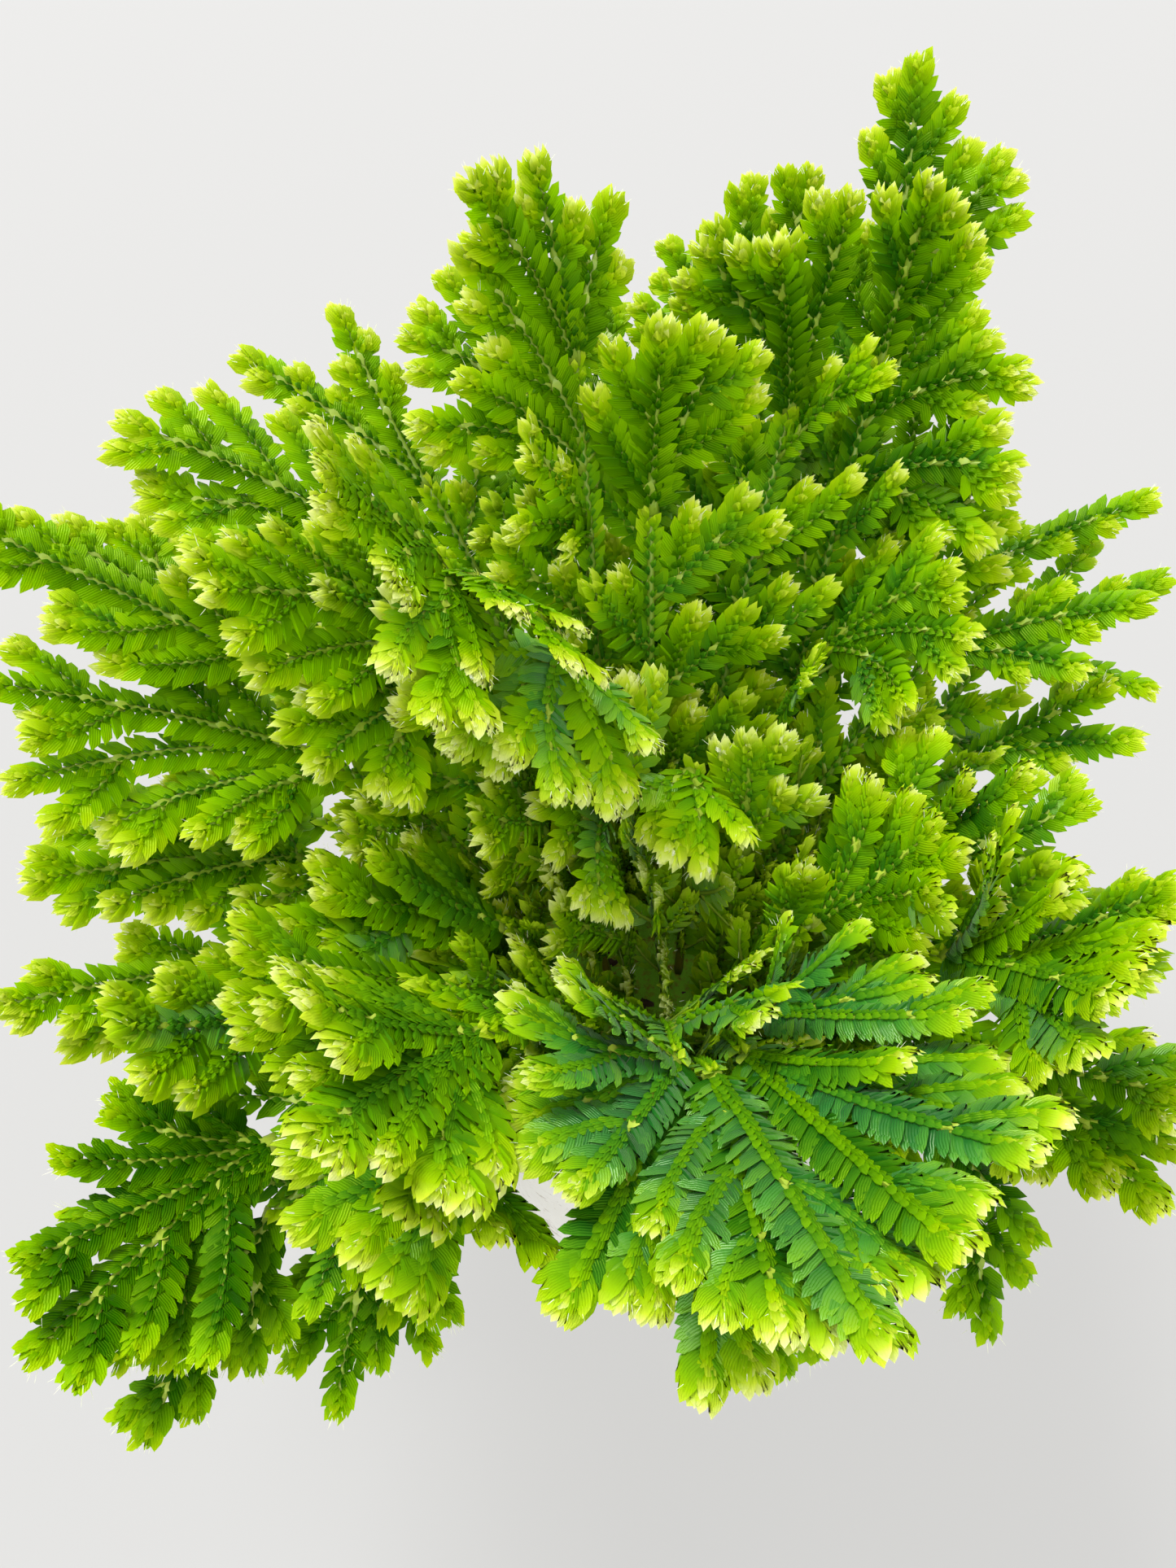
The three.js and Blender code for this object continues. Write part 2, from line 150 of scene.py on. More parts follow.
for k in range(DRAIN_HOLES):
    turn = 2 * math.pi * k / DRAIN_HOLES
    drill = add(
        bpy.ops.mesh.primitive_cylinder_add,
        vertices=32,
        radius=DRAIN_RADIUS * MM,
        depth=3 * FLOOR * MM,
        location=(DRAIN_RING * MM * math.cos(turn), DRAIN_RING * MM * math.sin(turn), FLOOR / 2 * MM),
    )
    bpy.ops.object.mode_set(mode="OBJECT")
    bpy.ops.object.select_all(action="DESELECT")
    bpy.context.view_layer.objects.active = pot
    pot.select_set(True)
    cut = pot.modifiers.new("drain", "BOOLEAN")
    cut.object = drill
    cut.operation = "DIFFERENCE"
    cut.solver = "EXACT"
    bpy.ops.object.modifier_apply(modifier=cut.name)
    bpy.data.objects.remove(drill)
bpy.ops.object.shade_smooth_by_angle(angle=math.radians(35))

# Moulded polypropylene: milky, satin, slightly uneven, with fine scuffs and a few specks of dried soil.
pot_plastic, tree, output = new_material("moulded_polypropylene")
place = node(tree, "TexCoord").outputs["Object"]
cloud = node(tree, "TexNoise", {"Vector": place, "Scale": 28, "Detail": 5, "Roughness": 0.6})
tint = node(tree, "ValToRGB", {"Fac": cloud.outputs["Fac"]})
set_ramp(tint, [(0.3, POT_SHADE), (0.7, POT_WHITE)])
speck = node(tree, "TexNoise", {"Vector": place, "Scale": 420, "Detail": 3, "Roughness": 0.7})
patch = node(tree, "TexNoise", {"Vector": place, "Scale": 60, "Detail": 2})
both = node(tree, "Math", {0: speck.outputs["Fac"], 1: patch.outputs["Fac"]}, operation="MULTIPLY")
splash = node(
    tree, "MapRange", {"Value": both.outputs[0], "From Min": 0.36, "From Max": 0.44, "To Max": 0.55}
)
colour = node(
    tree,
    "Mix",
    {0: splash.outputs[0], 6: tint.outputs["Color"], 7: linear(SOIL_SPLASH)},
    data_type="RGBA",
)
stretch = node(tree, "Mapping", {"Vector": place, "Scale": (1, 1, 0.12)})
scuff = node(tree, "TexNoise", {"Vector": stretch.outputs[0], "Scale": 900, "Detail": 2})
rough = node(
    tree,
    "MapRange",
    {"Value": scuff.outputs["Fac"], "From Min": 0.3, "From Max": 0.7, "To Min": 0.34, "To Max": 0.5},
)
relief = node(tree, "Bump", {"Height": scuff.outputs["Fac"], "Strength": 0.12, "Distance": 0.0002})
plastic = node(
    tree,
    "BsdfPrincipled",
    {
        "Base Color": colour.outputs[2],
        "Roughness": rough.outputs[0],
        "Normal": relief.outputs[0],
        "IOR": 1.49,
        "Subsurface Weight": 0.15,
        "Subsurface Radius": (0.003, 0.003, 0.0026),
        "Subsurface Scale": 1,
    },
)
tree.links.new(plastic.outputs[0], output.inputs["Surface"])
pot.data.materials.append(pot_plastic)
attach(pot, "root")
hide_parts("pot")

# ---- Soil
# Potting mix, filled to just under the rim: dark damp peat with crumbs, bark flakes and a few grains of
# perlite on it. One lumpy plug, with the crumbs copied from three small lumps.

SOIL_TOP = 74
SOIL_SHOULDER = 3
SHOULDER_WIDTH = 4
SEAT = 0.3
SOIL_SIDES = 72
SOIL_LUMP = 1.1
PEAT_BROWN = "#3d2b1d"
BARK_BROWN = "#5a3d27"
PERLITE_WHITE = "#d9d5cb"
# moss colours painted lighter than moss: painted light where the crown shades the soil
PAINTED_LIGHT_MOSS_OLIVE = "#8f8c1c"
PAINTED_LIGHT_MOSS_GREEN = "#86c624"
CRUMB_REACH = 39
CRUMB_TIP = 0.5
CRUMB_LIFT = 0.12
PERLITE_GREY = "#b9b4a8"

random = np.random.default_rng(11)


def soil_height(x, y):
    """The top of the soil at a place, in mm."""
    lumps = noise.fractal(Vector((x / 9, y / 9, 3.7)), 0.8, 2.1, 3)
    slope = max(0, math.hypot(x, y) - (wall_radius(SOIL_TOP) - WALL - SEAT - SHOULDER_WIDTH - 1))
    return SOIL_TOP - 0.7 + SOIL_LUMP * lumps - slope * SOIL_SHOULDER / SHOULDER_WIDTH


bottom = FLOOR + SEAT
edge = SOIL_TOP - SOIL_SHOULDER
start = (wall_radius(bottom) - WALL - SEAT - 1.8, bottom)
soil = add(
    bpy.ops.mesh.primitive_circle_add,
    vertices=SOIL_SIDES,
    radius=start[0] * MM,
    fill_type="NGON",
    location=(0, 0, bottom * MM),
)
rings = [(wall_radius(h) - WALL - SEAT, h) for h in (6, 40, edge)]
rings += [(38.6, edge + 1.2)] + [(r, SOIL_TOP) for r in (36, 33, 30, 27, 24, 21, 18, 15, 12, 9, 6, 3)]
last = start
for radius, height in rings:
    last = draw_ring(radius, height, last)
bpy.ops.mesh.merge(type="CENTER")
bpy.ops.mesh.select_all(action="SELECT")
bpy.ops.mesh.normals_make_consistent(inside=False)
bpy.ops.object.mode_set(mode="OBJECT")
for vertex in soil.data.vertices:
    if vertex.co.z > (edge + 1) * MM:
        vertex.co.z = soil_height(vertex.co.x / MM, vertex.co.y / MM) * MM
bpy.ops.object.shade_smooth_by_angle(angle=math.radians(60))
soil.name = "potting_mix"


def lump(seed, squash):
    """One crumb about 1 mm across: its corners in mm and its faces."""
    crumb = add(bpy.ops.mesh.primitive_ico_sphere_add, subdivisions=1, radius=0.5)
    bpy.ops.mesh.select_all(action="SELECT")
    bpy.ops.transform.resize(value=(1, squash, squash * 0.6))
    bpy.ops.object.mode_set(mode="OBJECT")
    corners = np.array([v.co for v in crumb.data.vertices])
    faces = np.array([f.vertices for f in crumb.data.polygons])
    bpy.data.objects.remove(crumb)
    uneven = np.random.default_rng(seed).uniform(0.72, 1.28, (len(corners), 1))
    return corners * uneven, faces


def set_mesh(name, corners, faces, uvs=None):
    """A mesh object at the origin from corners in mm and a list of face arrays, each with its own count."""
    mesh = bpy.data.meshes.new(name)
    counts = np.concatenate([np.full(len(f), f.shape[1]) for f in faces])
    loops = np.concatenate([f.ravel() for f in faces])
    mesh.vertices.add(len(corners))
    mesh.vertices.foreach_set("co", (corners * MM).astype(np.float32).ravel())
    mesh.loops.add(len(loops))
    mesh.loops.foreach_set("vertex_index", loops.astype(np.int32))
    mesh.polygons.add(len(counts))
    mesh.polygons.foreach_set("loop_start", np.concatenate([[0], np.cumsum(counts)[:-1]]).astype(np.int32))
    mesh.update(calc_edges=True)
    if uvs is not None:
        mesh.uv_layers.new(name="OFBake").data.foreach_set("uv", uvs[loops].astype(np.float32).ravel())
    made = bpy.data.objects.new(name, mesh)
    bpy.context.scene.collection.objects.link(made)
    return made


# how many there are of each, the least and the most across, and how flat they are
CRUMBS = {
    "peat_crumbs": (420, (0.9, 2.2), 0.8),
    "bark_flakes": (120, (2.0, 4.2), 0.5),
    "perlite": (34, (1.2, 2.4), 0.9),
}
crumb_pieces = []
for seed, (name, (count, (least, most), squash)) in enumerate(CRUMBS.items()):
    corners, faces = lump(seed, squash)
    all_corners = []
    all_faces = []
    for k in range(count):
        reach = CRUMB_REACH * math.sqrt(random.uniform())
        turn = random.uniform(0, 2 * math.pi)
        x, y = reach * math.cos(turn), reach * math.sin(turn)
        size = random.uniform(least, most)
        spin, tip = random.uniform(0, 2 * math.pi), random.uniform(-CRUMB_TIP, CRUMB_TIP)
        c, s = math.cos(spin), math.sin(spin)
        ct, st = math.cos(tip), math.sin(tip)
        tipped = corners @ np.array([[ct, 0, -st], [0, 1, 0], [st, 0, ct]])
        turned = tipped @ np.array([[c, s, 0], [-s, c, 0], [0, 0, 1]])
        all_corners.append(turned * size + [x, y, soil_height(x, y) + CRUMB_LIFT * size])
        all_faces.append(faces + k * len(corners))
    crumb_pieces.append(set_mesh(name, np.concatenate(all_corners), [np.concatenate(all_faces)]))

# Damp peat: brown fibres under a thin skin of moss, with no shine. Bark is a redder brown, perlite chalky.
# The moss greens are lighter than moss is: painted light on the soil in the shade of the crown.
soils = {}
for name, stops, rough in (
    ("damp_peat", [(0.26, PEAT_BROWN), (0.38, PAINTED_LIGHT_MOSS_OLIVE), (0.5, PAINTED_LIGHT_MOSS_GREEN), (0.7, PAINTED_LIGHT_MOSS_GREEN)], 0.95),
    ("bark", [(0.3, PEAT_BROWN), (0.7, BARK_BROWN)], 0.8),
    ("perlite_grain", [(0.3, PERLITE_GREY), (0.6, PERLITE_WHITE)], 0.9),
):
    made, tree, output = new_material(name)
    place = node(tree, "TexCoord").outputs["Object"]
    grain = node(tree, "TexNoise", {"Vector": place, "Scale": 500, "Detail": 6, "Roughness": 0.7})
    tint = node(tree, "ValToRGB", {"Fac": grain.outputs["Fac"]})
    set_ramp(tint, stops)
    relief = node(tree, "Bump", {"Height": grain.outputs["Fac"], "Strength": 0.8, "Distance": 0.0008})
    surface = node(
        tree,
        "BsdfPrincipled",
        {"Base Color": tint.outputs["Color"], "Roughness": rough, "Normal": relief.outputs[0]},
    )
    tree.links.new(surface.outputs[0], output.inputs["Surface"])
    soils[name] = made
for piece, name in zip([soil, *crumb_pieces], ["damp_peat", "damp_peat", "bark", "perlite_grain"]):
    piece.data.materials.append(soils[name])
    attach(piece, "root")
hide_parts("soil")

# ---- How the shoots stand and run
# Every shoot is one plant stem that rises from the crown, leans out, and forks into limbs, and the limbs
# into twigs. The stems and limbs run where the CAD has them, by the same rule of growth.

FOOT_SPACING = 4.75
FOOT_SHARE = 0.42
STEM_LEAN = 0.25
STEM_RISE = 0.72
LEAST_ARCH = 26
LIMB_BEND = 0.45
STEM_PULL = 0.55
TIP_PULL = 0.8
STEM_CLEARANCE = 2.6
LIMB_CLEARANCE = 5.4
LIMB_TO_STEM = 4
STEM_STEPS = 12
LIMB_STEPS = 8
STEM_BOWS = [0, 3, -3, 6, -6, 9, -9, 12, -12]
LIMB_BENDS = [
    (0, 0), (4, 0), (-4, 0), (0, 4), (0, -4), (8, 0), (-8, 0), (4, 6), (4, -6), (-4, 6), (-4, -6),
    (12, 0), (0, 9), (0, -9), (10, 8), (10, -8),
]

# Each shoot's knee, where the bare stem ends, as (across, back, above the soil), and its limbs, each as
# (how far up the stem it leaves, then its tip as across, back, above the soil).
SHOOTS = {
    "back_right_tall": [(34, 60, 92), [
        (1, 38, 87, 129), (1, 54, 84, 116), (1, 37, 62, 122), (0.88, 50, 68, 106), (0.88, 55, 50, 97),
        (0.75, 54, 38, 87), (0.75, 50, 32, 76)]],
    "back_right_inner": [(20, 58, 84), [(1, 27, 68, 117), (1, 14, 61, 113), (1, 3, 66, 110)]],
    "back_right_far": [(18, 80, 80), [
        (1, 26, 98, 108), (1, 13, 102, 103), (0.9, 0, 100, 94), (0.9, -6, 90, 87)]],
    "back_left_tall": [(-16, 50, 98), [
        (1, -31, 47, 128), (1, -22, 57, 127), (1, -10, 66, 117), (0.85, -33, 51, 117), (0.8, -34, 40, 102),
        (0.8, -41, 36, 96), (0.68, -26, 24, 86), (0.68, -18, 25, 81)]],
    "back_left_far": [(-24, 62, 84), [(1, -39, 78, 99), (1, -46, 68, 93)]],
    "back_middle": [(-4, 36, 80), [(1, -3, 43, 110), (1, 7, 47, 105)]],
    "left_back_far": [(-42, 54, 72), [(1, -58, 78, 93), (1, -74, 67, 90)]],
    "left_back": [(-50, 33, 78), [(1, -85, 38, 96), (1, -82, 29, 88)]],
    "middle_tall": [(-36, 20, 85), [
        (1, -49, 10, 107), (1, -41, 3, 95), (0.95, -12, -1, 79), (0.95, -28, -10, 79)]],
    "left_tall": [(-42, 17, 74), [(1, -60, 17, 93), (1, -53, 11, 86), (1, -65, 0, 95), (0.9, -60, -5, 84)]],
    "middle_droop": [(-17, 15, 70), [(1, -18, -12, 67), (1, -27, -7, 66), (1, -8, -8, 62)]],
    "centre_right_low": [(3, 8, 50), [(1, 4, -11, 46), (1, -5, -5, 47)]],
    "centre_left_low": [(-11, 5, 42), [(1, -12, -16, 42), (1, -20, -7, 44)]],
    "left_upper": [(-62, 19, 60), [
        (1, -107, 24, 88), (1, -97, 31, 80), (0.9, -91, 36, 77), (0.9, -79, 26, 75)]],
    "left_middle": [(-60, 12, 50), [
        (1, -101, 2, 76), (1, -97, -8, 66), (0.9, -86, -9, 57), (0.9, -73, -9, 55)]],
    "left_lower": [(-68, 2, 37), [
        (1, -103, -1, 44), (1, -99, 6, 50), (0.9, -98, -18, 54), (0.9, -87, -20, 50)]],
    "left_inner": [(-38, 12, 62), [(1, -57, 3, 73), (1, -54, -8, 67), (1, -45, -7, 61)]],
    "left_bottom": [(-74, -12, 22), [(1, -107, -29, 37), (1, -99, -31, 24)]],
    "front_left_inner": [(-28, -12, 34), [(1, -46, -14, 57), (1, -53, -21, 57), (1, -58, -28, 58)]],
    "front_left_middle": [(-34, -28, 42), [(1, -60, -36, 66), (1, -60, -44, 58)]],
    "front_left_far": [(-58, -25, 30), [(1, -79, -40, 52), (1, -77, -31, 46)]],
    "front_left_near": [(-28, -42, 54), [
        (1, -47, -51, 79), (1, -47, -58, 73), (1, -44, -68, 79), (1, -37, -68, 73), (1, -31, -69, 66)]],
    "front_left_spray": [(-60, -47, 30), [
        (1, -84, -46, 41), (1, -87, -56, 46), (1, -85, -64, 42), (1, -87, -71, 47), (1, -83, -82, 44),
        (1, -76, -80, 32)]],
    "front_left_hanging": [(-60, -55, 24), [(1, -73, -87, 22), (1, -60, -77, 15)]],
    "front_left_under": [(-44, -50, 16), [(1, -50, -80, 9), (1, -37, -70, 4)]],
    "front_left_short": [(-30, -47, 41), [
        (1, -43, -69, 46), (1, -34, -62, 38), (1, -25, -69, 52), (1, -27, -61, 47)]],
    "front_fan_left": [(-2, -42, 47), [
        (1, -17, -33, 56), (1, -23, -40, 54), (1, -23, -53, 51), (1, -17, -76, 52), (1, -16, -64, 56)]],
    "front_fan_middle": [(3, -45, 48), [(1, -1, -85, 50), (1, 6, -83, 67), (1, 15, -86, 73)]],
    "front_fan_right": [(8, -41, 46), [
        (1, 24, -77, 74), (1, 34, -67, 74), (1, 38, -60, 66), (1, 25, -51, 63)]],
    "front_under": [(10, -50, 24), [(1, 15, -74, 8), (1, 23, -69, 8)]],
    "front_right_hanging": [(37, -44, 30), [(1, 43, -71, 16), (1, 50, -61, 26)]],
    "right_near": [(38, -26, 48), [(1, 46, -51, 78), (1, 43, -56, 74), (1, 48, -31, 72), (1, 41, -22, 70)]],
    "right_flat": [(12, -32, 41), [(1, 35, -44, 62), (1, 32, -37, 58), (1, 16, -21, 50), (1, 26, -24, 53)]],
    "right_inner": [(21, -17, 42), [(1, 34, -26, 64), (1, 36, -15, 66), (1, 29, -5, 63), (1, 40, 5, 63)]],
    "right_middle": [(36, -8, 50), [(1, 48, -11, 72), (1, 42, -7, 66)]],
    "right_far": [(46, -4, 42), [(1, 66, -1, 53), (1, 64, -11, 46)]],
    "right_spray": [(48, -36, 36), [(1, 64, -50, 52), (1, 60, -61, 43), (1, 49, -53, 35)]],
    "right_low": [(53, -18, 37), [(1, 71, -20, 58), (1, 69, -30, 46)]],
    "right_back_low": [(51, 14, 46), [(1, 74, 7, 58), (1, 71, 16, 62)]],
    "right_back": [(45, 27, 58), [(1, 72, 18, 77), (1, 64, 13, 67)]],
    "right_back_far": [(52, 52, 48), [(1, 89, 58, 67)]],
    "right_upper": [(26, 28, 58), [(1, 44, 11, 76), (1, 35, 6, 66), (1, 43, 23, 80)]],
    "centre": [(12, 0, 38), [(1, 11, 7, 61), (1, 18, 2, 54)]],
    "back_low_left": [(-28, 64, 46), [(1, -36, 96, 60), (1, -54, 86, 56), (1, -18, 92, 66)]],
    "back_low": [(2, 68, 46), [(1, -4, 104, 56), (1, 14, 102, 66), (0.9, -18, 99, 44)]],
    "back_low_right": [(30, 62, 48), [(1, 42, 92, 60), (1, 27, 97, 72), (1, 57, 82, 56)]],
    "back_hanging": [(8, 62, 26), [(1, 2, 90, 8), (1, 22, 86, 14)]],
    "right_back_wide": [(56, 34, 48), [(1, 88, 42, 62), (1, 82, 60, 56), (1, 86, 27, 48)]],
    "right_back_hanging": [(48, 34, 28), [(1, 72, 50, 16), (1, 80, 34, 20)]],
    "left_back_wide": [(-62, 42, 48), [(1, -96, 58, 60), (1, -86, 72, 56), (1, -101, 42, 54)]],
    "left_back_hanging": [(-50, 46, 28), [(1, -76, 70, 18), (1, -86, 54, 22)]],
    "back_right_outer": [(40, 50, 64), [(1, 56, 70, 84), (1, 62, 56, 70), (1, 46, 80, 84)]],
    "back_middle_far": [(-6, 64, 70), [(1, -12, 96, 88), (1, -24, 88, 82)]],
    "right_hanging": [(56, -4, 26), [(1, 80, -14, 12), (1, 82, 6, 16)]],
    "left_hanging": [(-62, 16, 26), [(1, -92, 26, 12), (1, -94, 8, 16)]],
}


def unit(v):
    """Vectors scaled to length 1."""
    return v / np.maximum(np.linalg.norm(v, axis=-1, keepdims=True), 1e-9)


def bend(curve, steps):
    """Points along a curve that is given by its start, its middle pull and its end."""
    t = np.linspace(0, 1, steps + 1)[:, None]
    start, middle, end = curve
    return (1 - t) ** 2 * start + 2 * t * (1 - t) * middle + t**2 * end


def heading(curve, t):
    """Which way such a curve runs at a place on it."""
    start, middle, end = curve
    return unit((1 - t) * (middle - start) + t * (end - middle))


def feet_of(knees):
    """Where each shoot stands in the crown's sunflower pattern, nearest to its own direction."""
    turn = math.pi * (3 - math.sqrt(5))
    spots = np.array([
        (
            FOOT_SPACING * math.sqrt(k + 0.5) * math.cos(k * turn),
            FOOT_SPACING * math.sqrt(k + 0.5) * math.sin(k * turn),
        )
        for k in range(len(knees))
    ])
    wanted = knees[:, :2] * FOOT_SHARE
    cost = ((wanted[:, None] - spots[None]) ** 2).sum(2)
    order = sorted(range(len(knees)), key=lambda i: (-np.linalg.norm(wanted[i]), i))
    taken = np.zeros(len(knees), bool)
    place = [0] * len(knees)
    for i in order:
        place[i] = int(np.argmin(np.where(taken, np.inf, cost[i])))
        taken[place[i]] = True
    changed = True
    while changed:
        changed = False
        for a in range(len(place)):
            for b in range(a):
                now = cost[a, place[a]] + cost[b, place[b]]
                if cost[a, place[b]] + cost[b, place[a]] < now - 1e-6:
                    place[a], place[b] = place[b], place[a]
                    changed = True
    return np.column_stack([spots[place], np.zeros(len(place))])


def first_clear(curves, steps, points, rooms):
    """The first of some curves that keeps its room from all that has grown, or the nearest to it."""
    best = None
    for curve in curves:
        own = bend(curve, steps)
        spare = np.inf
        if len(points):
            spare = (np.linalg.norm(own[:, None] - points[None], axis=2).min(0) - rooms).min()
        if best is None or spare > best[0]:
            best = (spare, curve)
        if spare >= 0:
            break
    return best[1]


knees = np.array([knee for knee, limbs in SHOOTS.values()], float)
feet = feet_of(knees)
stems = []
grown = np.zeros((0, 3))
owners = np.zeros(0, int)
for i, (foot, knee) in enumerate(zip(feet, knees)):
    across = unit(np.array([foot[1] - knee[1], knee[0] - foot[0], 0]))
    middle = foot + (knee - foot) * STEM_LEAN
    middle[2] = max(STEM_RISE * knee[2], LEAST_ARCH)
    ways = [np.array([foot, middle + across * bow, knee]) for bow in STEM_BOWS]
    stem = first_clear(ways, STEM_STEPS, grown, STEM_CLEARANCE)
    stems.append(stem)
    grown = np.concatenate([grown, bend(stem, STEM_STEPS)])
    owners = np.append(owners, np.full(STEM_STEPS + 1, i))
rooms = np.full(len(grown), float(LIMB_TO_STEM))
limbs_of = []
for i, (knee, limbs) in enumerate(SHOOTS.values()):
    limbs_of.append([])
    for t, *tip in limbs:
        start = (1 - t) ** 2 * stems[i][0] + 2 * t * (1 - t) * stems[i][1] + t**2 * stems[i][2]
        way = np.array(tip, float) - start
        length = np.linalg.norm(way)
        lean = unit(heading(stems[i], t) * STEM_PULL + way * TIP_PULL / length)
        across = unit(np.cross(way, [0, 0, 1]))
        ways = [
            np.array([start, start + lean * LIMB_BEND * length + across * bow + [0, 0, lift], start + way])
            for lift, bow in LIMB_BENDS
        ]
        other = owners != i
        limb = first_clear(ways, LIMB_STEPS, grown[other], rooms[other])
        limbs_of[-1].append(limb)
        grown = np.concatenate([grown, bend(limb, LIMB_STEPS)])
        owners = np.append(owners, np.full(LIMB_STEPS + 1, i))
        rooms = np.append(rooms, np.full(LIMB_STEPS + 1, float(LIMB_CLEARANCE)))

# ---- Strands
# A strand is one length of stem, limb or twig with its upper side carried along it. Twigs leave a limb
# by turns to the left and right in its own plane, shorter towards the tip, and some fork once more.

STRAND_STEP = 0.6
TWIG_PITCH = 5.2
TWIG_SHARE = 0.55
TWIG_EXTRA = 5
TWIG_FIRST = 4
TWIG_LAST = 5
TWIG_MOST = 22
TWIG_LEAST = 7
TWIG_SWINGS = [(48, 20), (38, 10), (58, 32)]
TWIG_ROOM = 4.8
TWIG_ROOM_OWN = 4.4
STEM_ROOM = 2.6
# no twig comes this near to the pot's rim, or this low over the soil
RIM_ROOM = 48.5
RIM_ROOM_UP = 9.5
SOIL_ROOM = 4
SOIL_REACH = 44
FORK_SHARE = 0.25
FORK_FROM = 13
FORK_AT = 0.45
FORK_LENGTH = 0.52
FORK_SWINGS = (44, 20)
BRANCH_PITCH = 8.5
BRANCH_FIRST = 0.14
BRANCH_LEAST = 11
BRANCH_MOST = 25
BRANCH_TURNS = [0, 30, -30, 60, -60]
BRANCH_SWINGS = (56, 30)
BRANCH_TWIG_FIRST = 5
BRANCH_TWIG_PITCH = 8.5
BRANCH_TWIG_MOST = 11
CROWN_REACH = 2.5
BASAL_FIRST = 3
BASAL_LAST = 0.5
BASAL_LAST_FRONT = 0.85
BASAL_PITCH = 3.4
BASAL_ROOM = 0.5
BASAL_LENGTH = (6, 11)
BASAL_SWINGS = (52, 22)
BASAL_TURNS = [0, 72, 144, 216, 288]
# half a strand's width, where it starts and where it ends
THICK = {
    "stem": (0.9, 0.6), "limb": (0.8, 0.4), "twig": (0.46, 0.28), "fork": (0.34, 0.24),
    "branch": (0.5, 0.3), "basal": (0.4, 0.26),
}
# where the leaves of a limb's tip reach further, and where a shoot is narrower than most
REACH_OF = {
    "front_fan": 1.4, "left_upper": 0.5, "left_middle": 0.5, "left_lower": 3, "left_bottom": 4,
    "right_spray": 1, "front_left_spray": 4, "front_left_hanging": 4,
}
SHARE_OF = {
    "right_back_far": 0.3, "right_back_wide": 0.25, "right_back_low": 0.5, "right_back_hanging": 0.6,
    "right_back": 0.5, "right_low": 0.75, "right_hanging": 0.4, "back_left_tall": 0.62,
    "back_right_tall": 0.85, "back_middle_far": 0.6, "left_back_far": 0.45, "left_lower": 0.75,
    "left_bottom": 0.6, "left_upper": 0.85, "front_left_hanging": 0.75, "front_right_hanging": 0.75,
    "front_left_short": 1.35, "front_fan_left": 1.12,
}
# shoots whose stems show through the open front, and are leafy further up
OPEN_FRONT = (
    "front_fan", "right_flat", "right_inner", "front_left_inner", "centre", "front_left_middle",
    "front_left_near", "middle_droop",
)
names = list(SHOOTS)

random = np.random.default_rng(23)


def of_group(table, name, usual=None):
    """What a table says of the first group whose name begins a shoot's name."""
    return next((value for key, value in table.items() if name.startswith(key)), usual)


def strand(points, upper, short=0):
    """A strand through some points: places every STRAND_STEP mm or so, its direction and upper side there."""
    steps = np.linalg.norm(np.diff(points, axis=0), axis=1)
    reach = np.concatenate([[0], np.cumsum(steps)])
    end = reach[-1] - short
    count = max(8, int(end / STRAND_STEP))
    at = np.linspace(0, end, count + 1)
    spots = np.column_stack([np.interp(at, reach, points[:, k]) for k in range(3)])
    along = unit(np.gradient(spots, axis=0))
    uppers = np.zeros_like(spots)
    for k, way in enumerate(along):
        upper = unit(upper - way * np.dot(upper, way))
        uppers[k] = upper
    return {"at": at, "spots": spots, "along": along, "upper": uppers, "length": end}


def read(line, at):
    """Places, directions and upper sides at some lengths along a strand."""
    spots, along, upper = (
        np.column_stack([np.interp(at, line["at"], line[key][:, k]) for k in range(3)])
        for key in ("spots", "along", "upper")
    )
    along = unit(along)
    upper = unit(upper - along * (upper * along).sum(1, keepdims=True))
    return spots, along, upper


def twig_curve(line, at, side, length, swings, droop, turn=0):
    """A twig's points: it leaves at one angle and bends back towards its limb's own direction."""
    (spot,), (along,), (upper,) = read(line, np.array([at]))
    across = np.cross(along, upper) * side
    turn = math.radians(turn)
    across, upper = (
        math.cos(turn) * across + math.sin(turn) * upper,
        math.cos(turn) * upper - math.sin(turn) * across,
    )
    first, second = (
        math.cos(math.radians(a)) * along + math.sin(math.radians(a)) * across for a in swings
    )
    second = unit(second - upper * droop)
    middle = spot + unit(first) * length / 2
    return bend(np.array([spot, middle, middle + second * length / 2]), 12), upper


shoots = []
taken = {
    "spots": np.zeros((0, 3)),
    "shoot": np.zeros(0, int),
    "strand": np.zeros(0, int),
    "stem": np.zeros(0, bool),
}


def take(i, line, kind):
    """Adds a strand to its shoot, and its points to those that later twigs keep clear of."""
    line.update(kind=kind, thick=THICK[kind], number=int(taken["strand"].max(initial=-1)) + 1)
    shoots[i].append(line)
    spots = line["spots"][::3]
    taken["spots"] = np.concatenate([taken["spots"], spots])
    taken["shoot"] = np.append(taken["shoot"], np.full(len(spots), i))
    taken["strand"] = np.append(taken["strand"], np.full(len(spots), line["number"]))
    taken["stem"] = np.append(taken["stem"], np.full(len(spots), kind == "stem"))
    return line


def is_free(i, spots, family, share=1):
    """Whether a twig's outer part keeps clear of everything but its own branches, the pot and the soil."""
    outer = spots[4:]
    if np.any((np.hypot(outer[:, 0], outer[:, 1]) < RIM_ROOM) & (outer[:, 2] < RIM_ROOM_UP)):
        return False
    if np.any(outer[:, 2] < SOIL_ROOM) and np.hypot(*spots[0][:2]) < SOIL_REACH:
        return False
    near = np.linalg.norm(outer[:, None] - taken["spots"][None], axis=2).min(0)
    room = np.where(taken["shoot"] == i, TWIG_ROOM_OWN, TWIG_ROOM)
    room = np.where(taken["stem"], STEM_ROOM, room) * share
    room[np.isin(taken["strand"], family)] = 0
    return bool((near >= room).all())


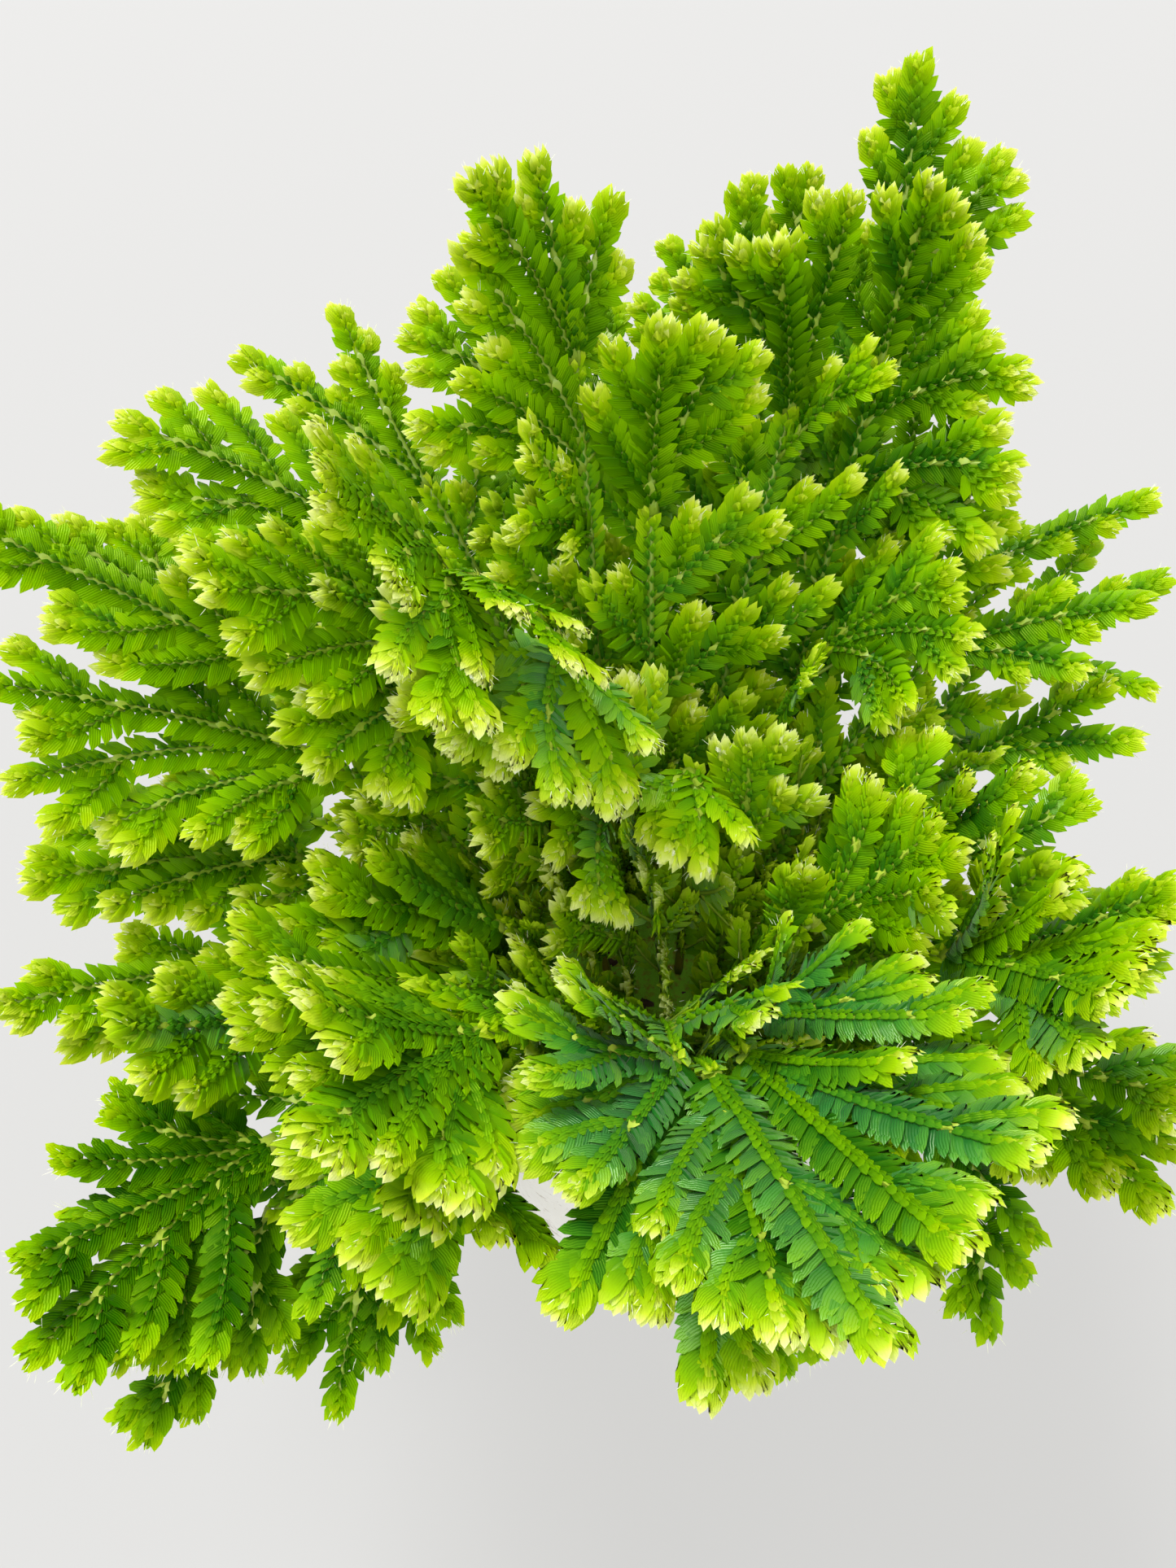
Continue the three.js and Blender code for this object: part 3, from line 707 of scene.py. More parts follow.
for i, (stem, limbs) in enumerate(zip(stems, limbs_of)):
    shoots.append([])
    outer = np.mean([limb[2] for limb in limbs], axis=0)
    inward = unit(np.array([stem[0][0] - outer[0], stem[0][1] - outer[1], 0]))
    take(i, strand(bend(stem, 40), inward), "stem")
    reach = of_group(REACH_OF, names[i], CROWN_REACH)
    for limb in limbs:
        rise = max(0, unit(limb[1] - limb[0])[2])
        line = strand(bend(limb, 24), np.array([0, -0.15, 1]) + inward * 1.2 * rise, reach)
        take(i, line, "limb")


def grow_twigs(i, line, first, pitch, most):
    """Twigs to the left and right of a strand by turns, each where it has room."""
    side = 1 if line["spots"][-1][0] > line["spots"][0][0] else -1
    share = of_group(SHARE_OF, names[i], 1)
    for at in np.arange(first, line["length"] - TWIG_LAST, pitch):
        side = -side
        length = min(max(TWIG_SHARE * (line["length"] - at) + TWIG_EXTRA, TWIG_LEAST), most)
        length = length * random.uniform(0.85, 1.12) * share
        droop = random.uniform(0.0, 0.22)
        fork = random.uniform() < FORK_SHARE and length > FORK_FROM
        for swings in TWIG_SWINGS:
            spots, upper = twig_curve(line, at, side, length, swings, droop)
            if is_free(i, spots, [line["number"]]):
                twig = take(i, strand(spots, upper), "twig")
                line["forks"] = [*line.get("forks", []), at]
                if fork:
                    spots, upper = twig_curve(
                        twig, FORK_AT * length, -side, FORK_LENGTH * length, FORK_SWINGS, 0.1
                    )
                    if is_free(i, spots, [line["number"], twig["number"]]):
                        take(i, strand(spots, upper), "fork")
                break


for i in range(len(shoots)):
    for line in [line for line in shoots[i] if line["kind"] == "limb"]:
        grow_twigs(i, line, TWIG_FIRST, TWIG_PITCH, TWIG_MOST)

# The stems are branched from low down too, which fills the middle of the plant.
for i in range(len(shoots)):
    stem = shoots[i][0]
    side = 1
    for at in np.arange(BRANCH_FIRST * stem["length"], stem["length"] - 3, BRANCH_PITCH):
        side = -side
        length = random.uniform(BRANCH_LEAST, BRANCH_MOST)
        droop = random.uniform(-0.1, 0.25)
        grown = False
        for size in (1, 0.62):
            for turn in BRANCH_TURNS:
                spots, upper = twig_curve(stem, at, side, length * size, BRANCH_SWINGS, droop, turn)
                if not grown and is_free(i, spots, [stem["number"]]):
                    branch = take(i, strand(spots, upper), "branch")
                    grow_twigs(i, branch, BRANCH_TWIG_FIRST, BRANCH_TWIG_PITCH, BRANCH_TWIG_MOST)
                    grown = True

# Short leafy side shoots low on the stems, which hide the crown of a plant that has grown dense.
for i in range(len(shoots)):
    stem = shoots[i][0]
    last = BASAL_LAST_FRONT if names[i].startswith(OPEN_FRONT) else BASAL_LAST
    for at in np.arange(BASAL_FIRST, last * stem["length"], BASAL_PITCH):
        length, turn = random.uniform(*BASAL_LENGTH), random.uniform(0, 360)
        for more in BASAL_TURNS:
            spots, upper = twig_curve(stem, at, 1, length, BASAL_SWINGS, 0, turn + more)
            if is_free(i, spots, [stem["number"]], BASAL_ROOM):
                take(i, strand(spots, upper), "basal")
                break

# ---- Leaves
# Small evergreen leaves in four ranks: two rows of larger side leaves that lie flat like the teeth of a
# comb, and two rows of small ones pressed to the upper side. Each is modelled once, closed, and copied.


def blade(rings, pole_drop):
    """One leaf, 1 long and 1 wide: closed, three corners a ring, the middle one raised as a keel.

    Each ring is (place along, width, height of the keel, drop)."""
    leaf = add(
        bpy.ops.mesh.primitive_uv_sphere_add,
        segments=3,
        ring_count=len(rings) + 1,
        radius=0.5,
        rotation=(0, math.pi / 2, 0),
    )
    bpy.ops.mesh.select_all(action="DESELECT")
    bpy.ops.object.mode_set(mode="OBJECT")
    bpy.ops.object.transform_apply(rotation=True)
    mesh = leaf.data
    levels = sorted({round(v.co.x, 4) for v in mesh.vertices})
    for level, (along, wide, keel, drop) in zip(levels[1:-1], rings):
        ring = [v for v in mesh.vertices if abs(v.co.x - level) < 1e-3]
        top = max(ring, key=lambda v: abs(v.co.z) - abs(v.co.y))
        up = 1 if top.co.z > 0 else -1
        for v in ring:
            v.select = True
        radius = abs(top.co.z)
        bpy.ops.object.mode_set(mode="EDIT")
        bpy.ops.mesh.select_mode(type="VERT")
        bpy.ops.transform.resize(
            value=(1, wide / 2 / (radius * math.sin(math.pi / 3)), up * keel / (1.5 * radius)),
            center_override=(level, 0, 0),
        )
        bpy.ops.transform.translate(value=(along - 0.5 - level, 0, keel / 3 - drop))
        bpy.ops.mesh.select_all(action="DESELECT")
        bpy.ops.object.mode_set(mode="OBJECT")
    corners = np.array([v.co for v in mesh.vertices])
    corners[:, 0] += 0.5
    corners[corners[:, 0] > 0.999, 2] = -pole_drop
    faces = [tuple(f.vertices) for f in mesh.polygons]
    bpy.data.objects.remove(leaf)
    # faces outwards, whatever way up the ring was turned
    middle = corners.mean(0)
    a, b, c = (corners[faces[0][k]] for k in range(3))
    if np.dot(np.cross(b - a, c - a), (a + b + c) / 3 - middle) < 0:
        faces = [f[::-1] for f in faces]
    return {
        "corners": corners,
        "threes": np.array([f for f in faces if len(f) == 3]),
        "fours": np.array([f for f in faces if len(f) == 4]).reshape(-1, 4),
    }


# (place along, width, keel, drop), all as shares of the leaf's own length or width
SIDE_LEAF = blade([(0.12, 0.88, 0.08, 0.0), (0.52, 1.0, 0.08, 0.02), (0.85, 0.68, 0.05, 0.07)], 0.13)
FAR_LEAF = blade([(0.22, 0.96, 0.08, 0.0), (0.72, 0.86, 0.07, 0.05)], 0.13)
LEAF_OF_BACK = blade([(0.46, 1.0, 0.16, 0.0)], 0.1)
SMALL_LEAF = blade([(0.22, 0.9, 0.14, 0.0), (0.7, 0.88, 0.12, 0.03)], 0.1)
TIP_LEAF = blade([(0.3, 0.94, 0.13, -0.06), (0.74, 0.86, 0.1, 0.0)], 0.16)
ROUND_TIP_LEAF = blade([(0.22, 0.86, 0.12, -0.05), (0.58, 1.0, 0.12, -0.02), (0.87, 0.56, 0.06, 0.06)], 0.16)
BRISTLE = blade([(0.12, 1.0, 1.0, 0.0)], 0.0)

# how much lighter a leaf's margins are: partly a pale margin, partly painted highlight
LEAF_EDGE_AND_HIGHLIGHT = 0.08
LEAF_FADE = 2.5
LEAF_SKEW = 0.012
HUE_STEP = 0.035
SHADE_HUE = 0.36
# the least hue of inner strands: their cooler green is painted shade
INNER_PAINTED_SHADE_HUE = 0.37
FORK_BARE = 0.8
YOUNG_REACH = 8.5
YOUNG_ANGLE = 34
YOUNG_WIDTH = 0.52
YOUNG_TONE = 0.38
SMALL_TONE = 0.42
SMALL_ANGLE = 11
SMALL_WIDTH = 0.62
JOINT_LENGTH = 2.7
JOINT_DEPTH = 1.2
STEM_BAND = 0.88
STEM_SIDES = 5


def stamp(shape, at, along, upper, long, wide, deep, tone, fade, hue, hook):
    """Copies of a shape, one for each place: corners in mm, faces, and places on the colour map."""
    x, y, z = shape["corners"].T
    x = np.clip(x, 0, 1)
    side = np.cross(upper, along)
    corners = (
        at[:, None]
        + along[:, None] * (x * long[:, None])[..., None]
        + side[:, None] * (y * wide[:, None] + x**2 * (hook * long)[:, None])[..., None]
        + upper[:, None] * (z * deep[:, None])[..., None]
    )
    # a leaf lightens towards its tip and margins: partly its own paler tip and margin, partly painted shade
    # at its base where the leaf before overlaps it and a painted highlight along its margins
    u = tone[:, None] + fade[:, None] * x**LEAF_FADE + LEAF_EDGE_AND_HIGHLIGHT * 2 * abs(y) + LEAF_SKEW * 2 * y
    v = hue[:, None] + HUE_STEP * x
    count, size = len(at), len(x)
    offset = (np.arange(count) * size)[:, None, None]
    poles = np.where((x < 1e-3) | (x > 0.999), 2, 0)
    return {
        "corners": corners.reshape(-1, 3),
        "map": np.stack([u, np.broadcast_to(v, u.shape)], axis=2).reshape(-1, 2),
        "face": np.stack([x * long[:, None], y * wide[:, None]], axis=2).reshape(-1, 2),
        "threes": (shape["threes"][None] + offset).reshape(-1, 3),
        "fours": (shape["fours"][None] + offset).reshape(-1, 4),
        "margin": np.tile(np.where(abs(y) > 1e-4, np.sign(y), poles), count),
        "slot": 0,
    }


def tube(line, tone_low, tone_high):
    """A strand's own stem: a closed tube, flatter than wide, swollen where it starts at a fork."""
    length = line["length"]
    rings = max(3, int(length / 3.2))
    at = np.linspace(0, 1, rings + 1) ** (1 if line["kind"] == "stem" else 1.25) * (length - 0.2)
    spots, along, upper = read(line, at)
    side = np.cross(along, upper)
    share = at / length
    thick = line["thick"][0] * (1 - share) + line["thick"][1] * share
    swell = 1 + (line["patch"] * np.exp(-at / 1.5) if line["kind"] != "stem" else 0)
    wide = (thick * swell)[:, None]
    deep = (thick * (0.95 if line["kind"] == "stem" else 0.72))[:, None]
    if line["kind"] == "stem":
        along[0], side[0], upper[0] = (0, 0, 1), unit(side[0] * [1, 1, 0]), unit(upper[0] * [1, 1, 0])
    turns = 2 * math.pi * np.arange(STEM_SIDES) / STEM_SIDES
    corners = (
        spots[:, None] + side[:, None] * (np.cos(turns)[None, :] * wide)[..., None]
        + upper[:, None] * (np.sin(turns)[None, :] * deep)[..., None]
    ).reshape(-1, 3)
    tone = tone_low + (tone_high - tone_low) * share**0.6 + 0.012 * (np.arange(rings + 1) % 2)
    if line["kind"] != "stem":
        tone = tone + 0.2 * line["patch"] * np.exp(-at / 1.8)
    u = np.repeat(tone, STEM_SIDES)
    v = STEM_BAND + 0.08 * np.tile(abs(np.arange(STEM_SIDES) / STEM_SIDES - 0.45), rings + 1)
    ring = np.arange(STEM_SIDES)
    after = (ring + 1) % STEM_SIDES
    fours = np.concatenate([
        np.column_stack([ring, after, after + STEM_SIDES, ring + STEM_SIDES]) + k * STEM_SIDES
        for k in range(rings)
    ])
    foot, end = len(corners), len(corners) + 1
    corners = np.concatenate([corners, [spots[0], spots[-1] + along[-1] * 0.2]])
    u = np.append(u, [tone[0] + 0.02, tone[-1] + 0.02])
    v = np.append(v, [STEM_BAND, STEM_BAND])
    top = rings * STEM_SIDES
    threes = np.concatenate([
        np.column_stack([after, ring, np.full(STEM_SIDES, foot)]),
        np.column_stack([ring + top, after + top, np.full(STEM_SIDES, end)]),
    ])
    return {
        "corners": corners,
        "map": np.column_stack([u, v]),
        "face": np.column_stack([np.append(np.repeat(at, STEM_SIDES), [0, length]), v * 40]),
        "threes": threes,
        "fours": fours,
        "margin": np.zeros(len(corners)),
        "slot": 1,
    }


def swung(first, second, degrees):
    """Directions swung from the first towards the second, which is square to it."""
    turn = np.radians(degrees)
    return np.cos(turn)[..., None] * first + np.sin(turn)[..., None] * second


def square_to(way, side):
    """The nearest directions to some others that are square to the ways given."""
    return unit(side - way * (side * way).sum(1, keepdims=True))


def thickness(line, at):
    """Half a strand's width at some lengths along it, as a column."""
    foot, tip = line["thick"]
    return foot + (tip - foot) * at[:, None] / line["length"]


def forward(way, face, along):
    """Which of a leaf's two edges faces the tip of its twig: 1 or -1."""
    return np.sign((np.cross(face, way) * along).sum(1))


def leafy(line, habit, frost, hue, first, shape, small):
    """The side leaves and the small upper leaves of one strand, and its bare joints."""
    length = line["length"]
    pitch, size, slim = habit["pitch"], habit["size"], habit["slim"]
    parts = []
    for side in (-1, 1):
        at = np.arange(first + (pitch / 2 if side > 0 else 0), length - 0.2, pitch)
        at = at + random.normal(0, 0.07 * pitch, len(at))
        count = len(at)
        spots, along, upper = read(line, at)
        across = np.cross(along, upper) * side
        left = length - at
        age = np.clip(left / YOUNG_REACH, 0, 1)
        angle = YOUNG_ANGLE + (habit["spread"] - YOUNG_ANGLE) * age**0.8 + random.normal(0, 3.5, count)
        rise = 14 * (1 - age) - 2 * age + random.normal(0, 5, count)
        way = swung(swung(along, across, angle), upper, rise)
        roll = habit["roll"] * age + random.normal(0, 6, count)
        face = unit(swung(square_to(way, upper), -square_to(way, along), roll))
        long = size * (0.8 + 0.2 * age) * random.uniform(0.92, 1.07, count)
        wide = long * (YOUNG_WIDTH + (slim - YOUNG_WIDTH) * age)
        young = np.clip(1 - left / habit["young"], 0, 1)
        cream = np.clip(1 - left / 5, 0, 1) * frost
        old = habit["old"]
        tone = old + (YOUNG_TONE - old) * young + 0.04 * cream + random.normal(0, 0.04, count)
        # the base of each side leaf is painted darker than its tip: partly its own colour, partly painted
        # shade where the leaf before lies over it
        fade = 0.17 + 0.05 * young + 0.2 * cream
        parts.append(stamp(
            shape, spots + across * 0.12, way, face, long, wide, long, tone, fade,
            hue + random.normal(0, 0.06, count), (0.08 + 0.12 * (1 - age)) * forward(way, face, along),
        ))
        parts[-1]["slot"] = 2 if hue < SHADE_HUE else 0
        at = at + pitch * 0.25
        at = at[at < length - 0.4]
        for fork in line.get("forks", []):
            at = at[abs(at - fork - 0.6) > FORK_BARE]
        count = len(at)
        spots, along, upper = read(line, at)
        across = np.cross(along, upper) * side
        left = length - at
        age = np.clip(left / YOUNG_REACH, 0, 1)
        angle = SMALL_ANGLE + random.normal(0, 4, count)
        rise = 10 + 14 * (1 - age)
        thick = thickness(line, at)
        way = swung(swung(along, across, angle), upper, rise)
        face = unit(square_to(way, upper) + 0.68 * habit["apart"] * across)
        face = square_to(way, face)
        long = size * (habit["upper"] + 0.14 * (1 - age)) * random.uniform(0.9, 1.1, count)
        young = np.clip(1 - left / habit["young"], 0, 1)
        cream = np.clip(1 - left / 4.4, 0, 1) * frost
        old = habit["old"] + habit["small"]
        tone = old + (SMALL_TONE - old) * young**1.5 + 0.2 * cream + random.normal(0, 0.025, count)
        parts.append(stamp(
            small, spots + (across * habit["apart"] + upper * (1.02 - 0.6 * habit["apart"])) * thick,
            way, face, long, long * SMALL_WIDTH, long, tone,
            0.1 + 0.06 * young + 0.2 * cream, hue + habit["small"] * 1.5 + random.normal(0, 0.02, count),
            np.zeros(count),
        ))
    forks = np.array(line.get("forks", []))
    if len(forks):
        # the stem is flat, pale and bare where it forks
        count = len(forks)
        spots, along, upper = read(line, np.clip(forks - 0.9, 0, None))
        thick = thickness(line, forks)
        parts.append(stamp(
            LEAF_OF_BACK, spots + upper * thick * 0.75, along, upper, np.full(count, JOINT_LENGTH),
            thick[:, 0] * 2.6, np.full(count, JOINT_DEPTH),
            random.uniform(0.29, 0.38, count) + 0.2 * line["patch"], np.zeros(count),
            np.full(count, STEM_BAND), np.zeros(count),
        ))
        parts[-1]["slot"] = 1
    return parts


# A tip's crown: how far round the bud each leaf stands from the upper side, how far it opens, how far back
# from the end it sits, its length as a share of a side leaf's, its width as a share of that, how far it
# curves forward, and how pale it is. The pairs at the sides come first, then the narrow ones between them.
CROWN = np.array([
    (92, 52, 3.0, 0.96, 0.44, 0.16, 0.0), (-92, 50, 2.7, 0.96, 0.44, 0.16, 0.0),
    (86, 43, 2.0, 0.94, 0.46, 0.2, 0.15), (-86, 41, 1.7, 0.94, 0.46, 0.2, 0.15),
    (80, 35, 1.2, 0.88, 0.48, 0.22, 0.4), (-80, 33, 0.9, 0.88, 0.48, 0.22, 0.4),
    (76, 27, 0.6, 0.8, 0.5, 0.18, 0.75), (-76, 25, 0.4, 0.8, 0.5, 0.18, 0.75),
    (42, 30, 1.5, 0.6, 0.5, 0.06, 0.55), (-40, 28, 1.1, 0.6, 0.5, 0.06, 0.55),
    (12, 26, 0.8, 0.6, 0.5, 0.0, 0.8), (-16, 22, 0.4, 0.62, 0.5, 0.0, 0.85),
    (48, 19, 0.2, 0.66, 0.46, 0.0, 1.0), (-46, 18, 0.1, 0.66, 0.46, 0.0, 1.0),
    (0, 10, 0.0, 0.68, 0.46, 0.0, 1.0),
    (98, 19, 0.3, 0.7, 0.46, 0.05, 1.0), (-98, 18, 0.2, 0.7, 0.46, 0.05, 1.0),
])
CROWN_FAR = CROWN[[2, 3, 4, 5, 6, 7, 8, 11, 12, 13, 15, 16]]
CROWN_HIDDEN = CROWN[[2, 3, 4, 5, 6, 7, 9, 12, 13]]
CROWN_INNER = CROWN[[4, 5, 6, 7, 10, 12, 13]]
CROWN_BROAD = CROWN[[0, 1, 2, 3, 4, 5, 6, 7, 9, 10, 14]] * (1, 1, 1, 1.06, 1.12, 1, 1.35)
CROWN_PLAIN = CROWN[[2, 3, 4, 5, 6, 7, 10, 12, 13]] * (1, 0.8, 1, 0.8, 1, 1, 0.8)
BRISTLES = 6


def crown(line, habit, frost, hue, rows, shape):
    """Young leaves that close over the bud at a strand's tip, with fine white bristles among them."""
    (spot,), (along,), (upper,) = read(line, np.array([line["length"]]))
    across = np.cross(along, upper)
    count = len(rows)
    turns = rows[:, 0] + random.normal(0, 7, count)
    tilt = rows[:, 1] + random.normal(0, 4, count)
    outward = swung(upper, across, turns)
    way = unit(swung(along, outward, tilt))
    face = square_to(way, outward * 0.75 + upper)
    long = habit["size"] * rows[:, 3] * random.uniform(0.9, 1.1, count)
    at = spot - along * rows[:, 2:3] + outward * 0.2
    tone = 0.2 + 0.8 * habit["old"] + 0.15 * rows[:, 6] * frost + random.normal(0, 0.02, count)
    fade = np.clip(0.18 + (0.1 + 0.4 * rows[:, 6]) * frost, 0, 0.96 - tone)
    parts = [stamp(
        shape, at, way, face, long, long * rows[:, 4], long, tone, fade, hue + random.normal(0, 0.02, count),
        rows[:, 5] * forward(way, face, along),
    )]
    if len(rows) < len(CROWN_HIDDEN):
        return parts
    turns = random.uniform(-120, 120, BRISTLES)
    tilt = random.uniform(10, 56, BRISTLES)
    outward = swung(upper, across, turns)
    way = unit(swung(along, outward, tilt))
    face = square_to(way, outward)
    at = spot + way * (habit["size"] * 0.58) - along * 0.8 + outward * 0.2
    parts.append(stamp(
        BRISTLE, at, way, face, random.uniform(1.0, 1.8, BRISTLES), np.full(BRISTLES, 0.11),
        np.full(BRISTLES, 0.06), np.full(BRISTLES, 0.95), np.full(BRISTLES, 0.03), np.full(BRISTLES, hue),
        np.zeros(BRISTLES),
    ))
    return parts


def joined(name, parts):
    """One mesh from stamped leaves and tubes: leaves, stems and shade leaves, in three material slots."""
    corners, uvs, own_faces, threes, fours, slots3, slots4, margin = [], [], [], [], [], [], [], []
    offset = 0
    for part in parts:
        corners.append(part["corners"])
        uvs.append(part["map"])
        own_faces.append(part["face"])
        threes.append(part["threes"] + offset)
        fours.append(part["fours"] + offset)
        slots3.append(np.full(len(part["threes"]), part["slot"]))
        slots4.append(np.full(len(part["fours"]), part["slot"]))
        margin.append(part["margin"])
        offset += len(part["corners"])
    made = set_mesh(
        name, np.concatenate(corners), [np.concatenate(threes), np.concatenate(fours)], np.concatenate(uvs)
    )
    mesh = made.data
    loops = np.zeros(len(mesh.loops), np.int32)
    mesh.loops.foreach_get("vertex_index", loops)
    face_map = mesh.uv_layers.new(name="LeafFace").data
    face_map.foreach_set("uv", np.concatenate(own_faces)[loops].astype(np.float32).ravel())
    mesh.polygons.foreach_set("material_index", np.concatenate(slots3 + slots4).astype(np.int32))
    mesh.polygons.foreach_set("use_smooth", np.ones(len(mesh.polygons), bool))
    ends = np.zeros(len(mesh.edges) * 2, np.int32)
    mesh.edges.foreach_get("vertices", ends)
    code = np.concatenate(margin)[ends.reshape(-1, 2)]
    sharp = (code[:, 0] * code[:, 1] != 0) & (
        (code[:, 0] == code[:, 1]) & (abs(code[:, 0]) == 1) | (code.max(1) == 2) & (abs(code).min(1) == 1)
    )
    mesh.edges.foreach_set("use_edge_sharp", sharp)
    mesh.update()
    return made


# How each part of the plant is leaved: the pitch of a row, a side leaf's length, its width as a share of
# that, how far it spreads and rolls, how frosted the tips are, the place on the map from blue-green
# to lime, how dark the old leaves are, how much lighter than them the small ones are and how long, how far
# back from the tip the leaves are young, and how far from the stem's middle the small ones sit.
KEYS = ("pitch", "size", "slim", "spread", "roll", "frost", "hue", "old", "small", "upper", "young", "apart")
HABITS = {
    "front_fan": (1.2, 5.0, 0.39, 64, 14, 1.45, 0.24, 0.11, 0.09, 0.38, 8, 0.45),
    "right_flat": (1.25, 4.8, 0.39, 64, 14, 0.9, 0.24, 0.12, 0.09, 0.38, 8, 0.45),
    "right_near": (1.4, 5.0, 0.42, 64, 16, 0.85, 0.42, 0.18, 0.03, 0.38, 10, 0.5),
    "front_left_spray": (1.75, 4.5, 0.4, 58, 16, 0.3, 0.64, 0.1, -0.03, 0.38, 5, 0.6),
    "front_left_hanging": (1.9, 4.5, 0.4, 58, 16, 0.3, 0.64, 0.09, -0.02, 0.38, 5, 0.5),
    "front_left_under": (2.0, 4.5, 0.4, 58, 16, 0.3, 0.64, 0.09, -0.02, 0.38, 5, 0.5),
    "front_under": (2.0, 4.6, 0.4, 62, 18, 0.4, 0.6, 0.08, -0.02, 0.38, 6, 0.5),
    "front_right_hanging": (2.0, 4.6, 0.4, 62, 18, 0.4, 0.6, 0.08, -0.02, 0.38, 7, 0.5),
    "front_left_near": (1.5, 5.4, 0.4, 60, 16, 1.15, 0.5, 0.21, -0.02, 0.4, 10, 0.5),
    "front_left_short": (1.6, 5.2, 0.42, 62, 16, 0.85, 0.5, 0.18, -0.02, 0.4, 10, 0.5),
    "front_left": (1.6, 5.2, 0.42, 62, 16, 0.85, 0.55, 0.18, -0.03, 0.38, 10, 0.5),
    # the middle shoots' frosted tips are paler than the others': partly painted light where the taller shoots
    # shade them
    "middle_droop": (1.5, 5.1, 0.43, 64, 14, 1.8, 0.26, 0.23, 0.05, 0.38, 11, 0.5),
    "middle_tall": (1.6, 5.1, 0.43, 62, 16, 1.8, 0.6, 0.24, -0.06, 0.38, 11, 0.5),
    "left": (1.75, 4.75, 0.42, 62, 15, 1.1, 0.74, 0.24, -0.11, 0.34, 11, 0.66),
    "back_left": (1.75, 4.7, 0.42, 62, 16, 1.3, 0.7, 0.2, -0.07, 0.38, 9, 0.5),
    "back_right": (1.8, 4.6, 0.4, 60, 20, 1.3, 0.66, 0.14, -0.05, 0.4, 8, 0.4),
    "back": (1.8, 4.65, 0.42, 60, 18, 1.2, 0.68, 0.17, -0.06, 0.4, 9, 0.4),
    "right_back": (1.75, 4.5, 0.42, 62, 16, 0.75, 0.5, 0.18, -0.05, 0.38, 9, 0.5),
    "right": (1.75, 4.7, 0.42, 62, 16, 0.75, 0.48, 0.17, -0.03, 0.38, 9, 0.5),
    # the centre shoots' old leaves and tips are paler than most: partly painted light in the shade of the
    # others
    "centre": (1.8, 4.7, 0.42, 62, 16, 1.7, 0.42, 0.26, -0.04, 0.38, 12, 0.5),
}
NEAR = (
    "front_fan", "right_flat", "right_near", "front_left_near", "front_left_spray", "front_left_hanging",
    "front_left_middle", "front_left_short", "front_left_inner", "middle_droop", "middle_tall", "right_inner",
    "right_middle", "right_spray",
)
HIDDEN = (
    "back_low", "back_hanging", "right_back_wide", "right_back_hanging", "left_back_wide",
    "left_back_hanging", "back_middle_far", "back_right_outer", "right_hanging", "left_hanging",
)
# shoots that hang in shade under the others, with small plain tips
PLAIN = ("front_left_spray", "front_left_hanging", "front_left_under", "front_under", "front_right_hanging")
# shoots that face the light, whose tips are few-leaved and broad
BROAD = ("front_left", "front_fan", "right_near", "right_flat", "right_inner")

pieces = []
for name, lines in zip(names, shoots):
    habit = dict(zip(KEYS, of_group(HABITS, name)))
    hidden = name.startswith(HIDDEN)
    parts = []
    for line in lines:
        kind = line["kind"]
        inner = kind in ("stem", "branch", "basal")
        own = dict(habit)
        own["size"] *= random.uniform(0.93, 1.07) * (0.9 if kind == "stem" else 1)
        own["old"] += random.normal(0, 0.018)
        # leaves on inner strands are painted lighter: painted light in the shade inside the plant
        if inner:
            own["old"] += 0.075
        if inner or hidden:
            own["pitch"] = max(own["pitch"], 2.3 if kind == "stem" else 2.0)
        if kind == "stem":
            own["spread"] = 54
        if kind == "basal":
            # basal leaves get a lighter old tone: painted light in the deep shade of the crown
            own.update(size=0.74 * own["size"], old=0.32, pitch=1.7, young=9)
        frost = habit["frost"] * random.uniform(0.4, 1.15) * (0.1 if kind == "basal" else 0.7 if inner else 1)
        hue = float(np.clip(habit["hue"] + random.normal(0, 0.1), 0.03, 0.79))
        if inner:
            # leaves that grow in the shade of the others are given a cooler green, which is painted shade
            hue = min(hue, max(INNER_PAINTED_SHADE_HUE, hue - 0.25))
        first = 0.2 * line["length"] if kind == "stem" else 1.0
        near = name.startswith(NEAR) and not inner
        line["patch"] = 1.1 if near else 0.6
        tones = (0.1, 0.45) if kind == "stem" else (0.46, 0.58) if near else (0.38, 0.48)
        parts.append(tube(line, *tones))
        parts += leafy(
            line, own, frost, hue, first, SIDE_LEAF if near else FAR_LEAF,
            SMALL_LEAF if near else LEAF_OF_BACK,
        )
        if kind != "stem":
            rows = CROWN_HIDDEN if hidden else CROWN if near else CROWN_FAR
            if inner:
                rows = CROWN_INNER
            elif name.startswith(PLAIN):
                rows = CROWN_PLAIN
            elif name.startswith(BROAD):
                rows = CROWN_BROAD
            parts += crown(line, own, frost, hue, rows, ROUND_TIP_LEAF if near else TIP_LEAF)
    for part in parts:
        part["corners"] = part["corners"] + [0, 0, SOIL_TOP + SEAT]
    piece = joined("foliage_" + name, parts)
    pieces.append(piece)
    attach(piece, "root")
    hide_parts("shoot_" + name)

# Living leaf: a thin waxy skin with a satin shine over tissue that lets light through, blue-green when
# old and in shade, lime when young, cream where the tip has no green in it. The cooler green of the
# shaded inner shoots is painted shade.
COOL_LEAF = [
    (0.04, "#0c5410"), (0.16, "#1a7422"), (0.28, "#449624"), (0.42, "#78b618"), (0.58, "#aed812"),
    (0.76, "#dcf048"), (0.94, "#f8fcb8"), (1.0, "#fffff0"),
]
WARM_LEAF = [
    (0.04, "#185200"), (0.16, "#367a00"), (0.28, "#649e00"), (0.42, "#92c800"), (0.58, "#bcdc08"),
    (0.76, "#e2f048"), (0.94, "#f8fcb8"), (1.0, "#fffff0"),
]


